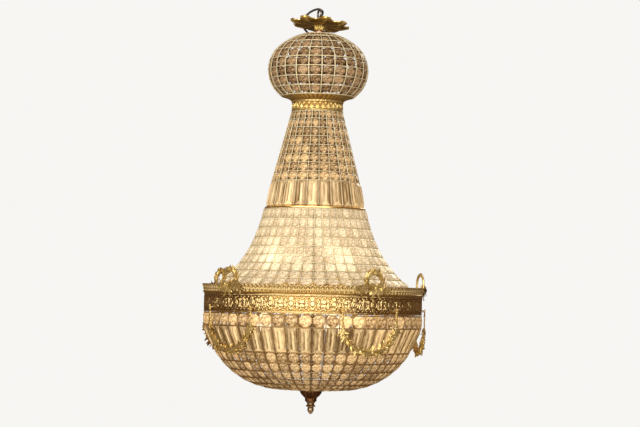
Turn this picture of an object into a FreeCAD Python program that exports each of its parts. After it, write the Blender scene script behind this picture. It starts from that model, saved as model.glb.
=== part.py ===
import FreeCAD
import Part
import Sketcher
import math
import os
import re
from FreeCAD import Matrix, Placement, Rotation, Vector

# A hanging basket chandelier: a crystal ball, a tapered neck, a flared tent and a round
# basket, all wired with cut glass, round one gilt ring with laurel wreaths and festoons.
# The origin is the centre of the hanging eye and everything hangs below it, -Y is the front.

doc = FreeCAD.newDocument("basket_chandelier")

# Driving dimensions, in millimetres and degrees.
SIZES = [
    # hanging eye and stem head
    ("eye_outer_rad", 11.0),
    ("eye_hole_rad", 7.0),
    ("eye_thick", 4.4),
    ("eye_bevel", 1.0),
    ("eye_turn", 24.0),
    ("shank_rad", 3.8),
    ("shank_drop", 1.0),
    ("retainer_rad", 6.1),
    ("retainer_height", 2.6),
    ("running_gap", 0.08),
    ("seat_gap", 0.05),
    ("head_rad", 8.6),
    ("head_height", 14.0),
    ("head_wall", 2.2),
    ("head_thread", 4.0),
    ("gland_rad", 4.4),
    ("gland_length", 7.0),
    ("gland_rise", 25.8),
    ("gland_height", 6.5),
    # stem and tie rod
    ("stem_rad", 5.0),
    ("stem_bore", 3.4),
    ("core_rad", 2.5),
    ("rod_rad", 4.0),
    ("nut_rad", 9.5),
    ("nut_height", 5.0),
    ("fit_gap", 0.3),
    # canopy
    ("canopy_travel", 7.5),
    ("canopy_sleeve", 5.0),
    ("canopy_bore", 6.3),
    ("canopy_rad", 68.4),
    ("canopy_depth", 14.0),
    ("canopy_rise", 5.8),
    ("canopy_wall", 1.6),
    ("canopy_lift", 2.0),
    ("canopy_lean", 4.6),
    ("canopy_nod", 6.0),
    ("canopy_lobes", 8),
    ("lobe_notch", 7.5),
    ("grub_rad", 1.5),
    ("seat_collar_rad", 12.0),
    ("seat_collar_height", 3.5),
    # crystal ball
    ("ball_rad", 110.5),
    ("ball_half_height", 84.5),
    ("ball_side_rad", 70.0),
    ("ball_low_angle", 43.2),
    ("ball_high_angle", 72.0),
    ("ball_rows", 8),
    ("ball_columns", 24),
    ("cap_rad", 40.5),
    ("sheet_wall", 1.6),
    # neck and cone
    ("neck_rad", 56.0),
    ("neck_height", 35.0),
    ("neck_wall", 2.0),
    ("neck_band", 19.0),
    ("neck_cup_out", 22.5),
    ("neck_cup_drop", 1.8),
    ("cone_top_rad", 55.3),
    ("cone_slope", 14.7),
    ("cone_bar_slope", 11.0),
    ("cone_row_height", 20.6),
    ("cone_rows", 8),
    ("cone_bar_height", 57.0),
    ("cone_columns", 24),
    # tent skirt
    ("step_height", 5.0),
    ("step_out", 4.2),
    ("skirt_row_height", 22.58),
    ("skirt_rows", 9),
    ("skirt_top_slope", 11.6),
    ("skirt_mid_slope", 24.2),
    ("skirt_end_slope", 53.6),
    ("skirt_upper_share", 0.39),
    ("skirt_columns", 44),
    # main ring
    ("ring_rad", 238.0),
    ("ring_wall", 5.0),
    ("flange_reach", 24.0),
    ("flange_thick", 3.0),
    ("cornice_height", 15.5),
    ("cornice_out", 11.0),
    ("band_out", 6.0),
    ("moulding_height", 5.0),
    ("band_height", 41.0),
    # basket
    ("basket_rad", 241.5),
    ("basket_top_height", 29.5),
    ("basket_bar_height", 59.3),
    ("basket_bar_slope", 25.0),
    ("basket_curve_rad", 169.0),
    ("basket_curve_start", 30.0),
    ("basket_curve_end", 88.0),
    ("basket_rows", 8),
    ("basket_fine_rows", 5),
    ("basket_columns", 52),
    ("basket_plate_rad", 32.0),
    ("basket_overlap", 6.0),
    ("basket_flat", 44.65),
    # wires and crystals
    ("wire_rad", 1.0),
    ("braze_gap", 0.3),
    ("crystal_gap", 0.9),
    ("crystal_depth", 6.4),
    ("crystal_table", 0.58),
    ("bar_width", 22.0),
    ("bar_depth", 8.0),
    ("bar_ridge", 9.0),
    ("bar_bevel", 6.0),
    # lamps
    ("hub_rad", 24.0),
    ("hub_height", 38.0),
    ("hub_drop", 158.0),
    ("arm_rad", 4.5),
    ("arm_bore", 3.2),
    ("arm_seat", 7.0),
    ("arm_bend", 22.0),
    ("arm_rise", 6.0),
    ("lead_rad", 1.3),
    ("upper_level", 26.0),
    ("upper_reach", 90.0),
    ("upper_lamps", 6),
    ("lower_level", 10.0),
    ("lower_reach", 110.0),
    ("lower_lamps", 3),
    ("lamp_turn", 23.0),
    ("socket_rad", 12.0),
    ("socket_height", 22.0),
    ("socket_wall", 3.0),
    ("drip_rad", 22.0),
    ("drip_height", 7.0),
    ("bulb_rad", 17.5),
    ("bulb_height", 62.0),
    ("bulb_cap_rad", 6.9),
    ("bulb_cap_height", 20.0),
    # spider
    ("spider_arms", 3),
    ("spider_turn", 96.0),
    ("spider_rise", 12.0),
    ("spar_width", 16.0),
    ("spar_thick", 5.0),
    ("spider_hub_rad", 16.0),
    ("screw_rad", 2.5),
    ("screw_head_rad", 4.5),
    ("screw_head_height", 3.0),
    # ornaments
    ("left_ornament_turn", -47.5),
    ("front_ornament_turn", 30.5),
    ("right_ornament_turn", 98.0),
    ("back_right_ornament_turn", 172.0),
    ("back_left_ornament_turn", 241.0),
    ("front_wreath_shift", 1.9),
    ("wreath_rad", 20.5),
    ("wreath_leg", 9.0),
    ("wreath_thick", 3.8),
    ("wreath_inset", 5.5),
    ("peg_rad", 1.6),
    ("peg_length", 8.0),
    ("bow_loop_rad", 8.0),
    ("bow_wire", 2.2),
    ("bow_standoff", 3.8),
    ("bow_drop", 4.0),
    ("bow_tail", 24.0),
    ("knot_rad", 3.4),
    ("festoon_standoff", 7.0),
    ("festoon_clearance", 9.5),
    ("festoon_spread", 15.7),
    ("festoon_lug_rise", 10.0),
    ("festoon_stem", 41.0),
    ("festoon_sag", 50.5),
    ("festoon_thick", 6.5),
    ("stem_thick", 2.4),
    ("lug_rad", 3.4),
    # bottom cap and finial
    ("plate_thick", 3.0),
    ("cup_rad", 25.0),
    ("cup_height", 23.0),
    ("bell_rad", 10.8),
    ("bell_height", 12.5),
    ("acorn_rad", 7.5),
    ("acorn_height", 16.0),
    # supply flex
    ("flex_rad", 2.5),
    ("block_length", 18.0),
    ("block_width", 17.0),
    ("block_thick", 11.0),
    ("block_bore", 2.0),
    ("block_screw_rad", 1.5),
]

# Heights and radii that follow from the sizes, stacked down from the eye.
SKIRT_UPPER = "Sizes.skirt_upper_share * skirt_length / (Sizes.skirt_mid_slope - Sizes.skirt_top_slope)"
SKIRT_LOWER = (
    "(1 - Sizes.skirt_upper_share) * skirt_length / (Sizes.skirt_end_slope - Sizes.skirt_mid_slope)"
)
LEVELS = [
    ("head_top", "-(Sizes.eye_outer_rad + Sizes.shank_drop)"),
    ("head_bottom", "head_top - Sizes.head_height"),
    ("canopy_foot", "head_bottom - Sizes.canopy_travel - Sizes.canopy_sleeve"),
    ("seat_top", "canopy_foot - Sizes.canopy_lift"),
    ("ball_pole", "seat_top - Sizes.seat_collar_height"),
    ("ball_middle", "ball_pole - Sizes.ball_half_height"),
    ("neck_top", "ball_middle - Sizes.ball_half_height * sin(Sizes.ball_low_angle * 1deg)"),
    ("neck_bottom", "neck_top - Sizes.neck_height"),
    ("cone_rows_length", "Sizes.cone_rows * Sizes.cone_row_height"),
    (
        "cone_bottom",
        "neck_bottom - cone_rows_length * cos(Sizes.cone_slope * 1deg)"
        " - Sizes.cone_bar_height * cos(Sizes.cone_bar_slope * 1deg)",
    ),
    (
        "cone_end_rad",
        "Sizes.cone_top_rad + cone_rows_length * sin(Sizes.cone_slope * 1deg)"
        " + Sizes.cone_bar_height * sin(Sizes.cone_bar_slope * 1deg)",
    ),
    ("skirt_top", "cone_bottom - Sizes.step_height"),
    ("skirt_top_rad", "cone_end_rad + Sizes.step_out"),
    ("skirt_length", "Sizes.skirt_rows * Sizes.skirt_row_height"),
    ("skirt_upper_arc", SKIRT_UPPER + " * 180 / pi"),
    ("skirt_lower_arc", SKIRT_LOWER + " * 180 / pi"),
    (
        "skirt_bottom",
        "skirt_top"
        " - skirt_upper_arc * (sin(Sizes.skirt_mid_slope * 1deg) - sin(Sizes.skirt_top_slope * 1deg))"
        " - skirt_lower_arc * (sin(Sizes.skirt_end_slope * 1deg) - sin(Sizes.skirt_mid_slope * 1deg))",
    ),
    ("ring_top", "skirt_bottom"),
    ("cornice_foot", "ring_top - Sizes.cornice_height"),
    ("moulding_foot", "cornice_foot - Sizes.moulding_height"),
    ("ring_bottom", "moulding_foot - Sizes.band_height"),
    ("basket_bar_top", "ring_bottom - Sizes.basket_top_height"),
    (
        "basket_bar_foot",
        "basket_bar_top - Sizes.basket_bar_height * cos(Sizes.basket_bar_slope * 1deg)",
    ),
    (
        "basket_curve_foot",
        "basket_bar_foot - Sizes.basket_curve_rad"
        " * (sin(Sizes.basket_curve_end * 1deg) - sin(Sizes.basket_curve_start * 1deg))",
    ),
    (
        "basket_curve_rad_end",
        "Sizes.basket_rad - Sizes.basket_bar_height * sin(Sizes.basket_bar_slope * 1deg)"
        " - Sizes.basket_curve_rad"
        " * (cos(Sizes.basket_curve_start * 1deg) - cos(Sizes.basket_curve_end * 1deg))",
    ),
    (
        "plate_level",
        "basket_curve_foot - Sizes.wire_rad - Sizes.fit_gap"
        " - (Sizes.basket_flat + Sizes.basket_overlap) * cos(Sizes.basket_curve_end * 1deg)",
    ),
    ("cup_top", "plate_level - Sizes.plate_thick - Sizes.seat_gap"),
    ("finial_top", "cup_top - Sizes.cup_height - Sizes.seat_gap"),
    ("hub_top", "skirt_top - Sizes.hub_drop"),
    ("hub_bottom", "hub_top - Sizes.hub_height"),
    ("spider_foot", "ring_bottom + Sizes.spider_rise"),
]


def add_sheet(name, rows, first=""):
    """A sheet with a name in column A and its value in column B, under that alias."""
    made = doc.addObject("Spreadsheet::Sheet", name)
    for number, (alias, value) in enumerate(rows, 1):
        made.set(f"A{number}", alias)
        made.set(f"B{number}", first + str(value))
        made.setAlias(f"B{number}", alias)
    doc.recompute()
    return made


sizes = add_sheet("Sizes", SIZES)
levels = add_sheet("Levels", LEVELS, "=")
size_names = {name for name, value in SIZES}
level_names = {name for name, text in LEVELS}


def bound(text):
    """A formula's text with each size and level named in its own sheet."""

    def full_name(found):
        word = found.group(0)
        if word in size_names:
            return "Sizes." + word
        if word in level_names:
            return "Levels." + word
        return word

    return re.sub(r"[a-z_]+", full_name, text)


def value(text):
    """What a formula comes to now, as a plain number."""
    found = sizes.evalExpression(bound(str(text)))
    return float(getattr(found, "Value", found))


# Every sub-part, by the name of its file.
made_parts = {}


def keep(part, label):
    part.Label = label
    made_parts[label] = part
    return part


def bind(part, **formulas):
    for name, text in formulas.items():
        part.setExpression(name.replace("__", "."), bound(text))
    return part


def lift(part, height):
    """Sets a part's height to a formula."""
    part.Placement = Placement(Vector(0, 0, value(height)), Rotation())
    part.setExpression("Placement.Base.z", bound(height))
    return part


def turned_body(name, height, outline):
    """A body turned about the upright axis, from an outline of (radius, height) formulas."""
    body = doc.addObject("PartDesign::Body", name)
    sketch = body.newObject("Sketcher::SketchObject", name + "_outline")
    front = [plane for plane in body.Origin.OriginFeatures if plane.Role == "XZ_Plane"][0]
    sketch.AttachmentSupport = [(front, "")]
    sketch.MapMode = "FlatFace"
    corners = [Vector(value(across), value(up), 0) for across, up in outline]
    count = len(corners)
    for number in range(count):
        sketch.addGeometry(Part.LineSegment(corners[number], corners[(number + 1) % count]))
    for number in range(count):
        sketch.addConstraint(Sketcher.Constraint("Coincident", number, 2, (number + 1) % count, 1))
    for number, (across, up) in enumerate(outline):
        for kind, text, now in (
            ("DistanceX", across, corners[number].x),
            ("DistanceY", up, corners[number].y),
        ):
            at = sketch.addConstraint(Sketcher.Constraint(kind, -1, 1, number, 1, now))
            sketch.setExpression(f"Constraints[{at}]", bound(str(text)))
    turn = body.newObject("PartDesign::Revolution", name + "_turn")
    turn.Profile = sketch
    turn.ReferenceAxis = (sketch, ["V_Axis"])
    turn.Angle = 360
    lift(body, height)
    return body


def rod(name, radius, length, height):
    part = doc.addObject("Part::Cylinder", name)
    bind(part, Radius=radius, Height=length)
    lift(part, height)
    return part


def joined(kind, name, base, tool):
    part = doc.addObject("Part::" + kind, name)
    part.Base = base
    part.Tool = tool
    return part


def computed(label, solids):
    """A sub-part whose solids are worked out here from the sheet's values."""
    part = doc.addObject("Part::Feature", label)
    part.Shape = Part.makeCompound(solids) if len(solids) > 1 else solids[0]
    return keep(part, label)


UP = Vector(0, 0, 1)
ORIGIN = Vector(0, 0, 0)


def around(shape, angle):
    """A copy turned about the upright axis; 0 is the front and plus is to the right."""
    copy = shape.copy()
    copy.Placement = Placement(ORIGIN, Rotation(UP, angle)).multiply(copy.Placement)
    return copy


def ring_of(shape, count, first=0.0):
    return [around(shape, first + 360.0 * number / count) for number in range(count)]


def front_point(radius, height, side=0.0):
    """A point in front of the axis, before it is turned to its place."""
    return Vector(side, -radius, height)


def bar_piece(edge, radius):
    """A round bar along one straight line or one arc."""
    start = edge.valueAt(edge.FirstParameter)
    heading = edge.tangentAt(edge.FirstParameter)
    section = Part.Face(Part.Wire([Part.makeCircle(radius, start, heading)]))
    if isinstance(edge.Curve, Part.Line):
        return section.extrude(edge.valueAt(edge.LastParameter) - start)
    spread = math.degrees(edge.LastParameter - edge.FirstParameter)
    return section.revolve(edge.Curve.Center, edge.Curve.Axis, spread)


def bar_along(edges, radius):
    """A round bar along a path of tangent lines and arcs."""
    pieces = [bar_piece(edge, radius) for edge in edges]
    if len(pieces) == 1:
        return pieces[0]
    return pieces[0].multiFuse(pieces[1:]).removeSplitter()


def tube_along(edges, radius, bore):
    return bar_along(edges, radius).cut(bar_along(edges, bore))


class Profile:
    """A section's outline from the top down: straight runs and arcs, measured by length.

    A slope is the angle from straight down, plus where the outline spreads outwards."""

    def __init__(self, radius, height):
        self.pieces = []
        self.radius = radius
        self.height = height
        self.length = 0.0

    def add(self, length, slope, end_slope=None):
        end_slope = slope if end_slope is None else end_slope
        self.pieces.append((self.length, length, self.radius, self.height, slope, end_slope))
        self.radius, self.height, turned = self.at_piece(self.pieces[-1], length)
        self.length += length

    @staticmethod
    def at_piece(piece, run):
        start, length, radius, height, slope, end_slope = piece
        first = math.radians(slope)
        bend = math.radians(end_slope - slope) / length
        if abs(bend) < 1e-9:
            return radius + run * math.sin(first), height - run * math.cos(first), first
        now = first + bend * run
        across = (math.cos(first) - math.cos(now)) / bend
        down = (math.sin(now) - math.sin(first)) / bend
        return radius + across, height - down, now

    def at(self, distance):
        """Radius, height and slope in radians, at a distance along the outline."""
        for piece in self.pieces:
            if distance <= piece[0] + piece[1] + 1e-6:
                return self.at_piece(piece, distance - piece[0])
        raise ValueError("the outline ends before that distance")

    def distance_at_height(self, height):
        low, high = 0.0, self.length
        for step in range(60):
            middle = (low + high) / 2
            if self.at(middle)[1] > height:
                low = middle
            else:
                high = middle
        return low

    def point(self, distance, inwards=0.0):
        radius, height, slope = self.at(distance)
        return front_point(
            radius - inwards * math.cos(slope), height - inwards * math.sin(slope)
        )

    def edges(self, first, last):
        """The outline between two distances, in the front half plane."""
        found = []
        for start, length, radius, height, slope, end_slope in self.pieces:
            low = max(first, start)
            high = min(last, start + length)
            if high - low < 0.01:
                continue
            if slope == end_slope:
                found.append(Part.LineSegment(self.point(low), self.point(high)).toShape())
            else:
                middle = self.point((low + high) / 2)
                found.append(Part.Arc(self.point(low), middle, self.point(high)).toShape())
        return found


def cage_ribs(profile, columns, turn, first, last):
    """Upright wires along the outline, one on each side of every column."""
    rib = bar_along(profile.edges(first, last), value("wire_rad"))
    return ring_of(rib, columns, turn)


def cage_hoops(profile, rows):
    """Level wires inside the upright ones, one at each row's edge."""
    inwards = 2 * value("wire_rad") + value("braze_gap")
    hoops = []
    for distance in rows:
        radius, height, slope = profile.at(distance)
        centre_rad = radius - inwards * math.cos(slope)
        centre_height = height - inwards * math.sin(slope)
        hoops.append(Part.makeTorus(centre_rad, value("wire_rad"), Vector(0, 0, centre_height), UP))
    return hoops


def faceted(back, front):
    """A closed solid between two level outlines with the same number of corners."""
    count = len(back)
    faces = [Part.Face(Part.makePolygon(back + back[:1])), Part.Face(Part.makePolygon(front + front[:1]))]
    for number in range(count):
        after = (number + 1) % count
        side = [back[number], back[after], front[after], front[number], back[number]]
        faces.append(Part.Face(Part.makePolygon(side)))
    solid = Part.makeSolid(Part.makeShell(faces))
    if solid.Volume < 0:
        solid.reverse()
    return solid


def cut_octagon(across):
    """A bevelled octagon, its table facing -Y, centred on the origin."""
    half = value("crystal_depth") / 2
    corner_rad = across / 2 / math.cos(math.pi / 8)
    outlines = []
    for depth, share in ((half, 1.0), (-half, value("crystal_table"))):
        outline = []
        for number in range(8):
            angle = math.pi / 8 + number * math.pi / 4
            outline.append(
                Vector(
                    share * corner_rad * math.cos(angle), depth, share * corner_rad * math.sin(angle)
                )
            )
        outlines.append(outline)
    return faceted(outlines[0], outlines[1])


def cut_bar(width, length):
    """A prism bar with bevelled sides and ends, its ridge facing -Y."""
    half = value("bar_depth") / 2
    ridge = min(value("bar_ridge"), width * 0.5)
    outlines = []
    for depth, wide, tall in (
        (half, width, length),
        (-half, ridge, length - 2 * value("bar_bevel")),
    ):
        outlines.append(
            [
                Vector(-wide / 2, depth, -tall / 2),
                Vector(wide / 2, depth, -tall / 2),
                Vector(wide / 2, depth, tall / 2),
                Vector(-wide / 2, depth, tall / 2),
            ]
        )
    return faceted(outlines[0], outlines[1])


def set_in_row(shape, profile, distance, columns, turn):
    """Copies of a crystal on the outline, one in the middle of each column of a row."""
    radius, height, slope = profile.at(distance)
    lean = Rotation(Vector(1, 0, 0), -math.degrees(slope))
    placed = shape.copy()
    placed.Placement = Placement(front_point(radius, height), lean)
    return ring_of(placed, columns, turn + HALF_CELL * 360.0 / columns)


HALF_CELL = 0.5


def octagon_row(profile, top, foot, columns, turn):
    """Octagons as large as their cells leave room for."""
    middle = (top + foot) / 2
    radius = min(profile.at(top)[0], profile.at(foot)[0])
    cell_width = 2 * math.pi * radius / columns
    room = 2 * (value("wire_rad") + value("crystal_gap"))
    across = min(cell_width, foot - top) - room
    return set_in_row(cut_octagon(across), profile, middle, columns, turn)


def bar_row(profile, top, foot, columns, turn):
    middle = (top + foot) / 2
    radius = min(profile.at(top)[0], profile.at(foot)[0])
    room = 2 * (value("wire_rad") + value("crystal_gap"))
    width = min(value("bar_width"), 2 * math.pi * radius / columns - room)
    return set_in_row(cut_bar(width, foot - top - room), profile, middle, columns, turn)


def evenly(first, last, count):
    return [first + (last - first) * number / count for number in range(count + 1)]


# Hanging eye: a bevelled ring on a shank that swivels in the stem head.
eye_ring = turned_body(
    "eye_ring",
    "0",
    [
        ("eye_hole_rad", "eye_bevel - eye_thick / 2"),
        ("eye_hole_rad + eye_bevel", "-eye_thick / 2"),
        ("eye_outer_rad - eye_bevel", "-eye_thick / 2"),
        ("eye_outer_rad", "eye_bevel - eye_thick / 2"),
        ("eye_outer_rad", "eye_thick / 2 - eye_bevel"),
        ("eye_outer_rad - eye_bevel", "eye_thick / 2"),
        ("eye_hole_rad + eye_bevel", "eye_thick / 2"),
        ("eye_hole_rad", "eye_thick / 2 - eye_bevel"),
    ],
)
eye_ring.Placement = Placement(
    ORIGIN, Rotation(UP, value("eye_turn")).multiply(Rotation(Vector(0, 1, 0), 90))
)
eye_ring.setExpression("Placement.Base.z", None)
SHANK_FOOT = "head_top - head_wall - seat_gap - retainer_height"
SHANK_TOP = "eye_hole_rad + eye_bevel / 2"
eye_shank = rod("eye_shank", "shank_rad", f"-({SHANK_TOP}) - ({SHANK_FOOT})", SHANK_FOOT)
keep(joined("Fuse", "hanging_eye_body", eye_ring, eye_shank), "hanging_eye")
keep(
    turned_body(
        "retainer_body",
        SHANK_FOOT,
        [
            ("shank_rad + seat_gap", "0"),
            ("retainer_rad", "0"),
            ("retainer_rad", "retainer_height"),
            ("shank_rad + seat_gap", "retainer_height"),
        ],
    ),
    "eye_retainer",
)

# Stem head: holds the swivel's retainer, the top of the stem and the cable gland.
head_shell = turned_body(
    "head_shell",
    "head_bottom",
    [
        ("stem_rad + seat_gap", "0"),
        ("head_rad", "0"),
        ("head_rad", "head_height"),
        ("shank_rad + running_gap", "head_height"),
        ("shank_rad + running_gap", "head_height - head_wall"),
        ("retainer_rad + fit_gap", "head_height - head_wall"),
        ("retainer_rad + fit_gap", "head_thread"),
        ("stem_rad + seat_gap", "head_thread"),
    ],
)
gland_angle = math.radians(value("gland_rise"))
gland_way = Vector(0, math.cos(gland_angle), math.sin(gland_angle))
gland_start = Vector(0, 0, value("head_bottom + gland_height"))
head_side = value("head_rad + gland_length")
gland_hole = doc.addObject("Part::Cylinder", "gland_hole")
bind(gland_hole, Radius="gland_rad - 1 + fit_gap / 6", Height="head_rad * 2")
gland_hole.Placement = Placement(gland_start, Rotation(UP, gland_way))
bind(gland_hole, Placement__Base__z="head_bottom + gland_height")
keep(joined("Cut", "stem_head_body", head_shell, gland_hole), "stem_head")

gland_face = gland_start + gland_way * head_side
gland_root = gland_start + gland_way * value("head_rad - head_wall + fit_gap")
flange_root = gland_start + gland_way * value("head_rad + 1")
gland = Part.makeCylinder(value("gland_rad - 1"), (gland_face - gland_root).Length, gland_root, gland_way)
gland = gland.fuse(
    Part.makeCylinder(value("gland_rad"), (gland_face - flange_root).Length - 2, flange_root, gland_way)
)
gland = gland.cut(
    Part.makeCylinder(value("flex_rad + seat_gap"), head_side * 2, gland_start, gland_way)
)
head_inside = Part.makeCylinder(
    value("retainer_rad + fit_gap"), value("head_height * 2"), Vector(0, 0, value("head_bottom"))
)
head_foot = Vector(0, 0, value("head_bottom"))
flange_clearance = (
    Part.makeCylinder(value("head_rad + seat_gap"), value("head_height + seat_gap"), head_foot)
    .common(Part.makeCylinder(value("gland_rad + 1"), head_side, gland_start, gland_way))
    .cut(Part.makeCylinder(value("gland_rad - 1"), head_side, gland_start, gland_way))
)
gland = gland.cut(head_inside).cut(flange_clearance)
computed("cable_gland", [gland])

# Central stem and the flex inside it, down to the lamp hub.
stem_length = "head_bottom + head_thread - hub_top + arm_seat"
stem_foot = "hub_top - arm_seat"
stem_outer = rod("stem_outer", "stem_rad", stem_length, stem_foot)
stem_inner = rod("stem_inner", "stem_bore", stem_length, stem_foot)
keep(joined("Cut", "central_stem_body", stem_outer, stem_inner), "central_stem")
keep(rod("stem_flex_body", "core_rad", f"{stem_length} + 1", stem_foot), "stem_flex")

# Canopy: a leafy dish with a lobed rim that slides up the stem, stored leaning as it hangs loose.
canopy_turned = turned_body(
    "canopy_dish",
    "0",
    [
        ("canopy_bore", "0"),
        ("canopy_bore + 2.4", "0"),
        ("seat_collar_rad - 0.4", "canopy_rise * 0.9"),
        ("canopy_rad * 0.24", "canopy_rise + 0.8"),
        ("canopy_rad * 0.5", "canopy_rise"),
        ("canopy_rad * 0.76", "canopy_rise + 1.6"),
        ("canopy_rad * 0.94", "canopy_depth * 0.78"),
        ("canopy_rad", "canopy_depth"),
        ("canopy_rad - canopy_wall * 0.6", "canopy_depth + canopy_wall * 0.7"),
        ("canopy_rad * 0.92", "canopy_depth * 0.78 + canopy_wall"),
        ("canopy_rad * 0.75", "canopy_rise + 1.6 + canopy_wall"),
        ("canopy_rad * 0.5", "canopy_rise + canopy_wall"),
        ("canopy_rad * 0.22", "canopy_rise + 0.8 + canopy_wall"),
        ("seat_collar_rad - 1", "canopy_rise + canopy_wall"),
        ("head_rad + 0.7", "canopy_sleeve"),
        ("canopy_bore", "canopy_sleeve"),
    ],
)
notch_sketch = canopy_turned.newObject("Sketcher::SketchObject", "lobe_notch_outline")
floor_plane = [p for p in canopy_turned.Origin.OriginFeatures if p.Role == "XY_Plane"][0]
notch_sketch.AttachmentSupport = [(floor_plane, "")]
notch_sketch.MapMode = "FlatFace"
notch_sketch.addGeometry(
    Part.Circle(Vector(value("canopy_rad + lobe_notch * 0.45"), 0, 0), UP, value("lobe_notch"))
)
notch_sketch.addConstraint(Sketcher.Constraint("PointOnObject", 0, 3, -1))
notch_sketch.addConstraint(
    Sketcher.Constraint("DistanceX", -1, 1, 0, 3, value("canopy_rad + lobe_notch * 0.45"))
)
notch_sketch.setExpression("Constraints[1]", bound("canopy_rad + lobe_notch * 0.45"))
notch_sketch.addConstraint(Sketcher.Constraint("Radius", 0, value("lobe_notch")))
notch_sketch.setExpression("Constraints[2]", bound("lobe_notch"))
notch = canopy_turned.newObject("PartDesign::Pocket", "lobe_notch_cut")
notch.Profile = notch_sketch
notch.Type = 1
notch.Reversed = True
doc.recompute()
lobes = canopy_turned.newObject("PartDesign::PolarPattern", "lobe_notches")
lobes.Originals = [notch]
lobes.Axis = (notch_sketch, ["N_Axis"])
lobes.Angle = 360
lobes.Occurrences = int(value("canopy_lobes"))
canopy_turned.Tip = lobes
canopy_lean = Rotation(Vector(0, 1, 0), value("canopy_lean")).multiply(
    Rotation(Vector(1, 0, 0), -value("canopy_nod"))
)
canopy_foot = Vector(0, 0, value("canopy_foot"))
canopy_turned.Placement = Placement(canopy_foot, canopy_lean)
bind(canopy_turned, Placement__Base__z="canopy_foot")
doc.recompute()

# A grub screw in the canopy's sleeve grips the stem once the canopy is pushed up.
grub_at = Vector(value("canopy_bore") + 1.2, 0, value("canopy_sleeve") * 0.42)
grub = Part.makeCylinder(value("grub_rad"), 5.5, grub_at, Vector(1, 0, 0))
slot = Part.makeBox(0.7, 4.0, 0.6, grub_at + Vector(4.9, -2.0, -0.3))
grub = grub.cut(slot)
grub_hole = doc.addObject("Part::Cylinder", "grub_hole")
bind(grub_hole, Radius="grub_rad + seat_gap", Height="seat_collar_rad + 3")
grub_hole.Placement = Placement(canopy_foot, canopy_lean).multiply(
    Placement(Vector(0, 0, value("canopy_sleeve") * 0.42), Rotation(UP, Vector(1, 0, 0)))
)
keep(joined("Cut", "canopy_body", canopy_turned, grub_hole), "canopy")
grub.Placement = Placement(canopy_foot, canopy_lean)
computed("canopy_screw", [grub])

# Copper seat collar on the ball's top cap, and the cap itself.
keep(
    turned_body(
        "seat_collar_body",
        "ball_pole",
        [
            ("stem_rad + fit_gap", "0"),
            ("seat_collar_rad", "0"),
            ("seat_collar_rad", "seat_collar_height - 1"),
            ("seat_collar_rad - 2", "seat_collar_height"),
            ("stem_rad + fit_gap", "seat_collar_height"),
        ],
    ),
    "seat_collar",
)
keep(
    turned_body(
        "ball_top_cap_body",
        "ball_pole",
        [
            ("stem_rad + fit_gap", "0"),
            ("seat_collar_rad", "0"),
            ("cap_rad - 10", "-4"),
            ("cap_rad - 9", "-8"),
            ("cap_rad", "-10.6"),
            ("cap_rad - 0.4", "-10.6 - sheet_wall"),
            ("cap_rad - 10", "-8 - sheet_wall"),
            ("cap_rad - 11", "-4 - sheet_wall"),
            ("seat_collar_rad", "-sheet_wall"),
            ("stem_rad + fit_gap", "-sheet_wall"),
        ],
    ),
    "ball_top_cap",
)

# Ball: two cap arcs and a side arc make an oval that is tangent all round.
ball_rad = value("ball_rad")
ball_half = value("ball_half_height")
side_arc = value("ball_side_rad")
cap_arc = ((ball_rad - side_arc) ** 2 + ball_half**2 - side_arc**2) / (2 * (ball_half - side_arc))
join_slope = math.degrees(math.atan2(cap_arc - ball_half, ball_rad - side_arc))


def ball_height(angle):
    return value("ball_middle") + ball_half * math.sin(math.radians(angle))


high_angle = value("ball_high_angle")
cap_top_slope = 85.0
cap_centre = value("ball_middle") - (cap_arc - ball_half)
ball_profile = Profile(
    cap_arc * math.cos(math.radians(cap_top_slope)),
    cap_centre + cap_arc * math.sin(math.radians(cap_top_slope)),
)
ball_profile.add(cap_arc * math.radians(cap_top_slope - join_slope), cap_top_slope, join_slope)
ball_profile.add(side_arc * math.radians(2 * join_slope), join_slope, -join_slope)
ball_profile.add(cap_arc * math.radians(cap_top_slope - join_slope), -join_slope, -cap_top_slope)
angle_step = (high_angle + value("ball_low_angle")) / value("ball_rows")
ball_rows = [
    ball_profile.distance_at_height(ball_height(high_angle - angle_step * number))
    for number in range(int(value("ball_rows")) + 1)
]
ball_columns = int(value("ball_columns"))
BALL_TURN = 4.3
computed("ball_ribs", cage_ribs(ball_profile, ball_columns, BALL_TURN, ball_rows[0], ball_rows[-1]))
computed("ball_hoops", cage_hoops(ball_profile, ball_rows))
ball_crystals = []
for top, foot in zip(ball_rows, ball_rows[1:]):
    ball_crystals += octagon_row(ball_profile, top, foot, ball_columns, BALL_TURN)
computed("ball_crystals", ball_crystals)

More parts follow.
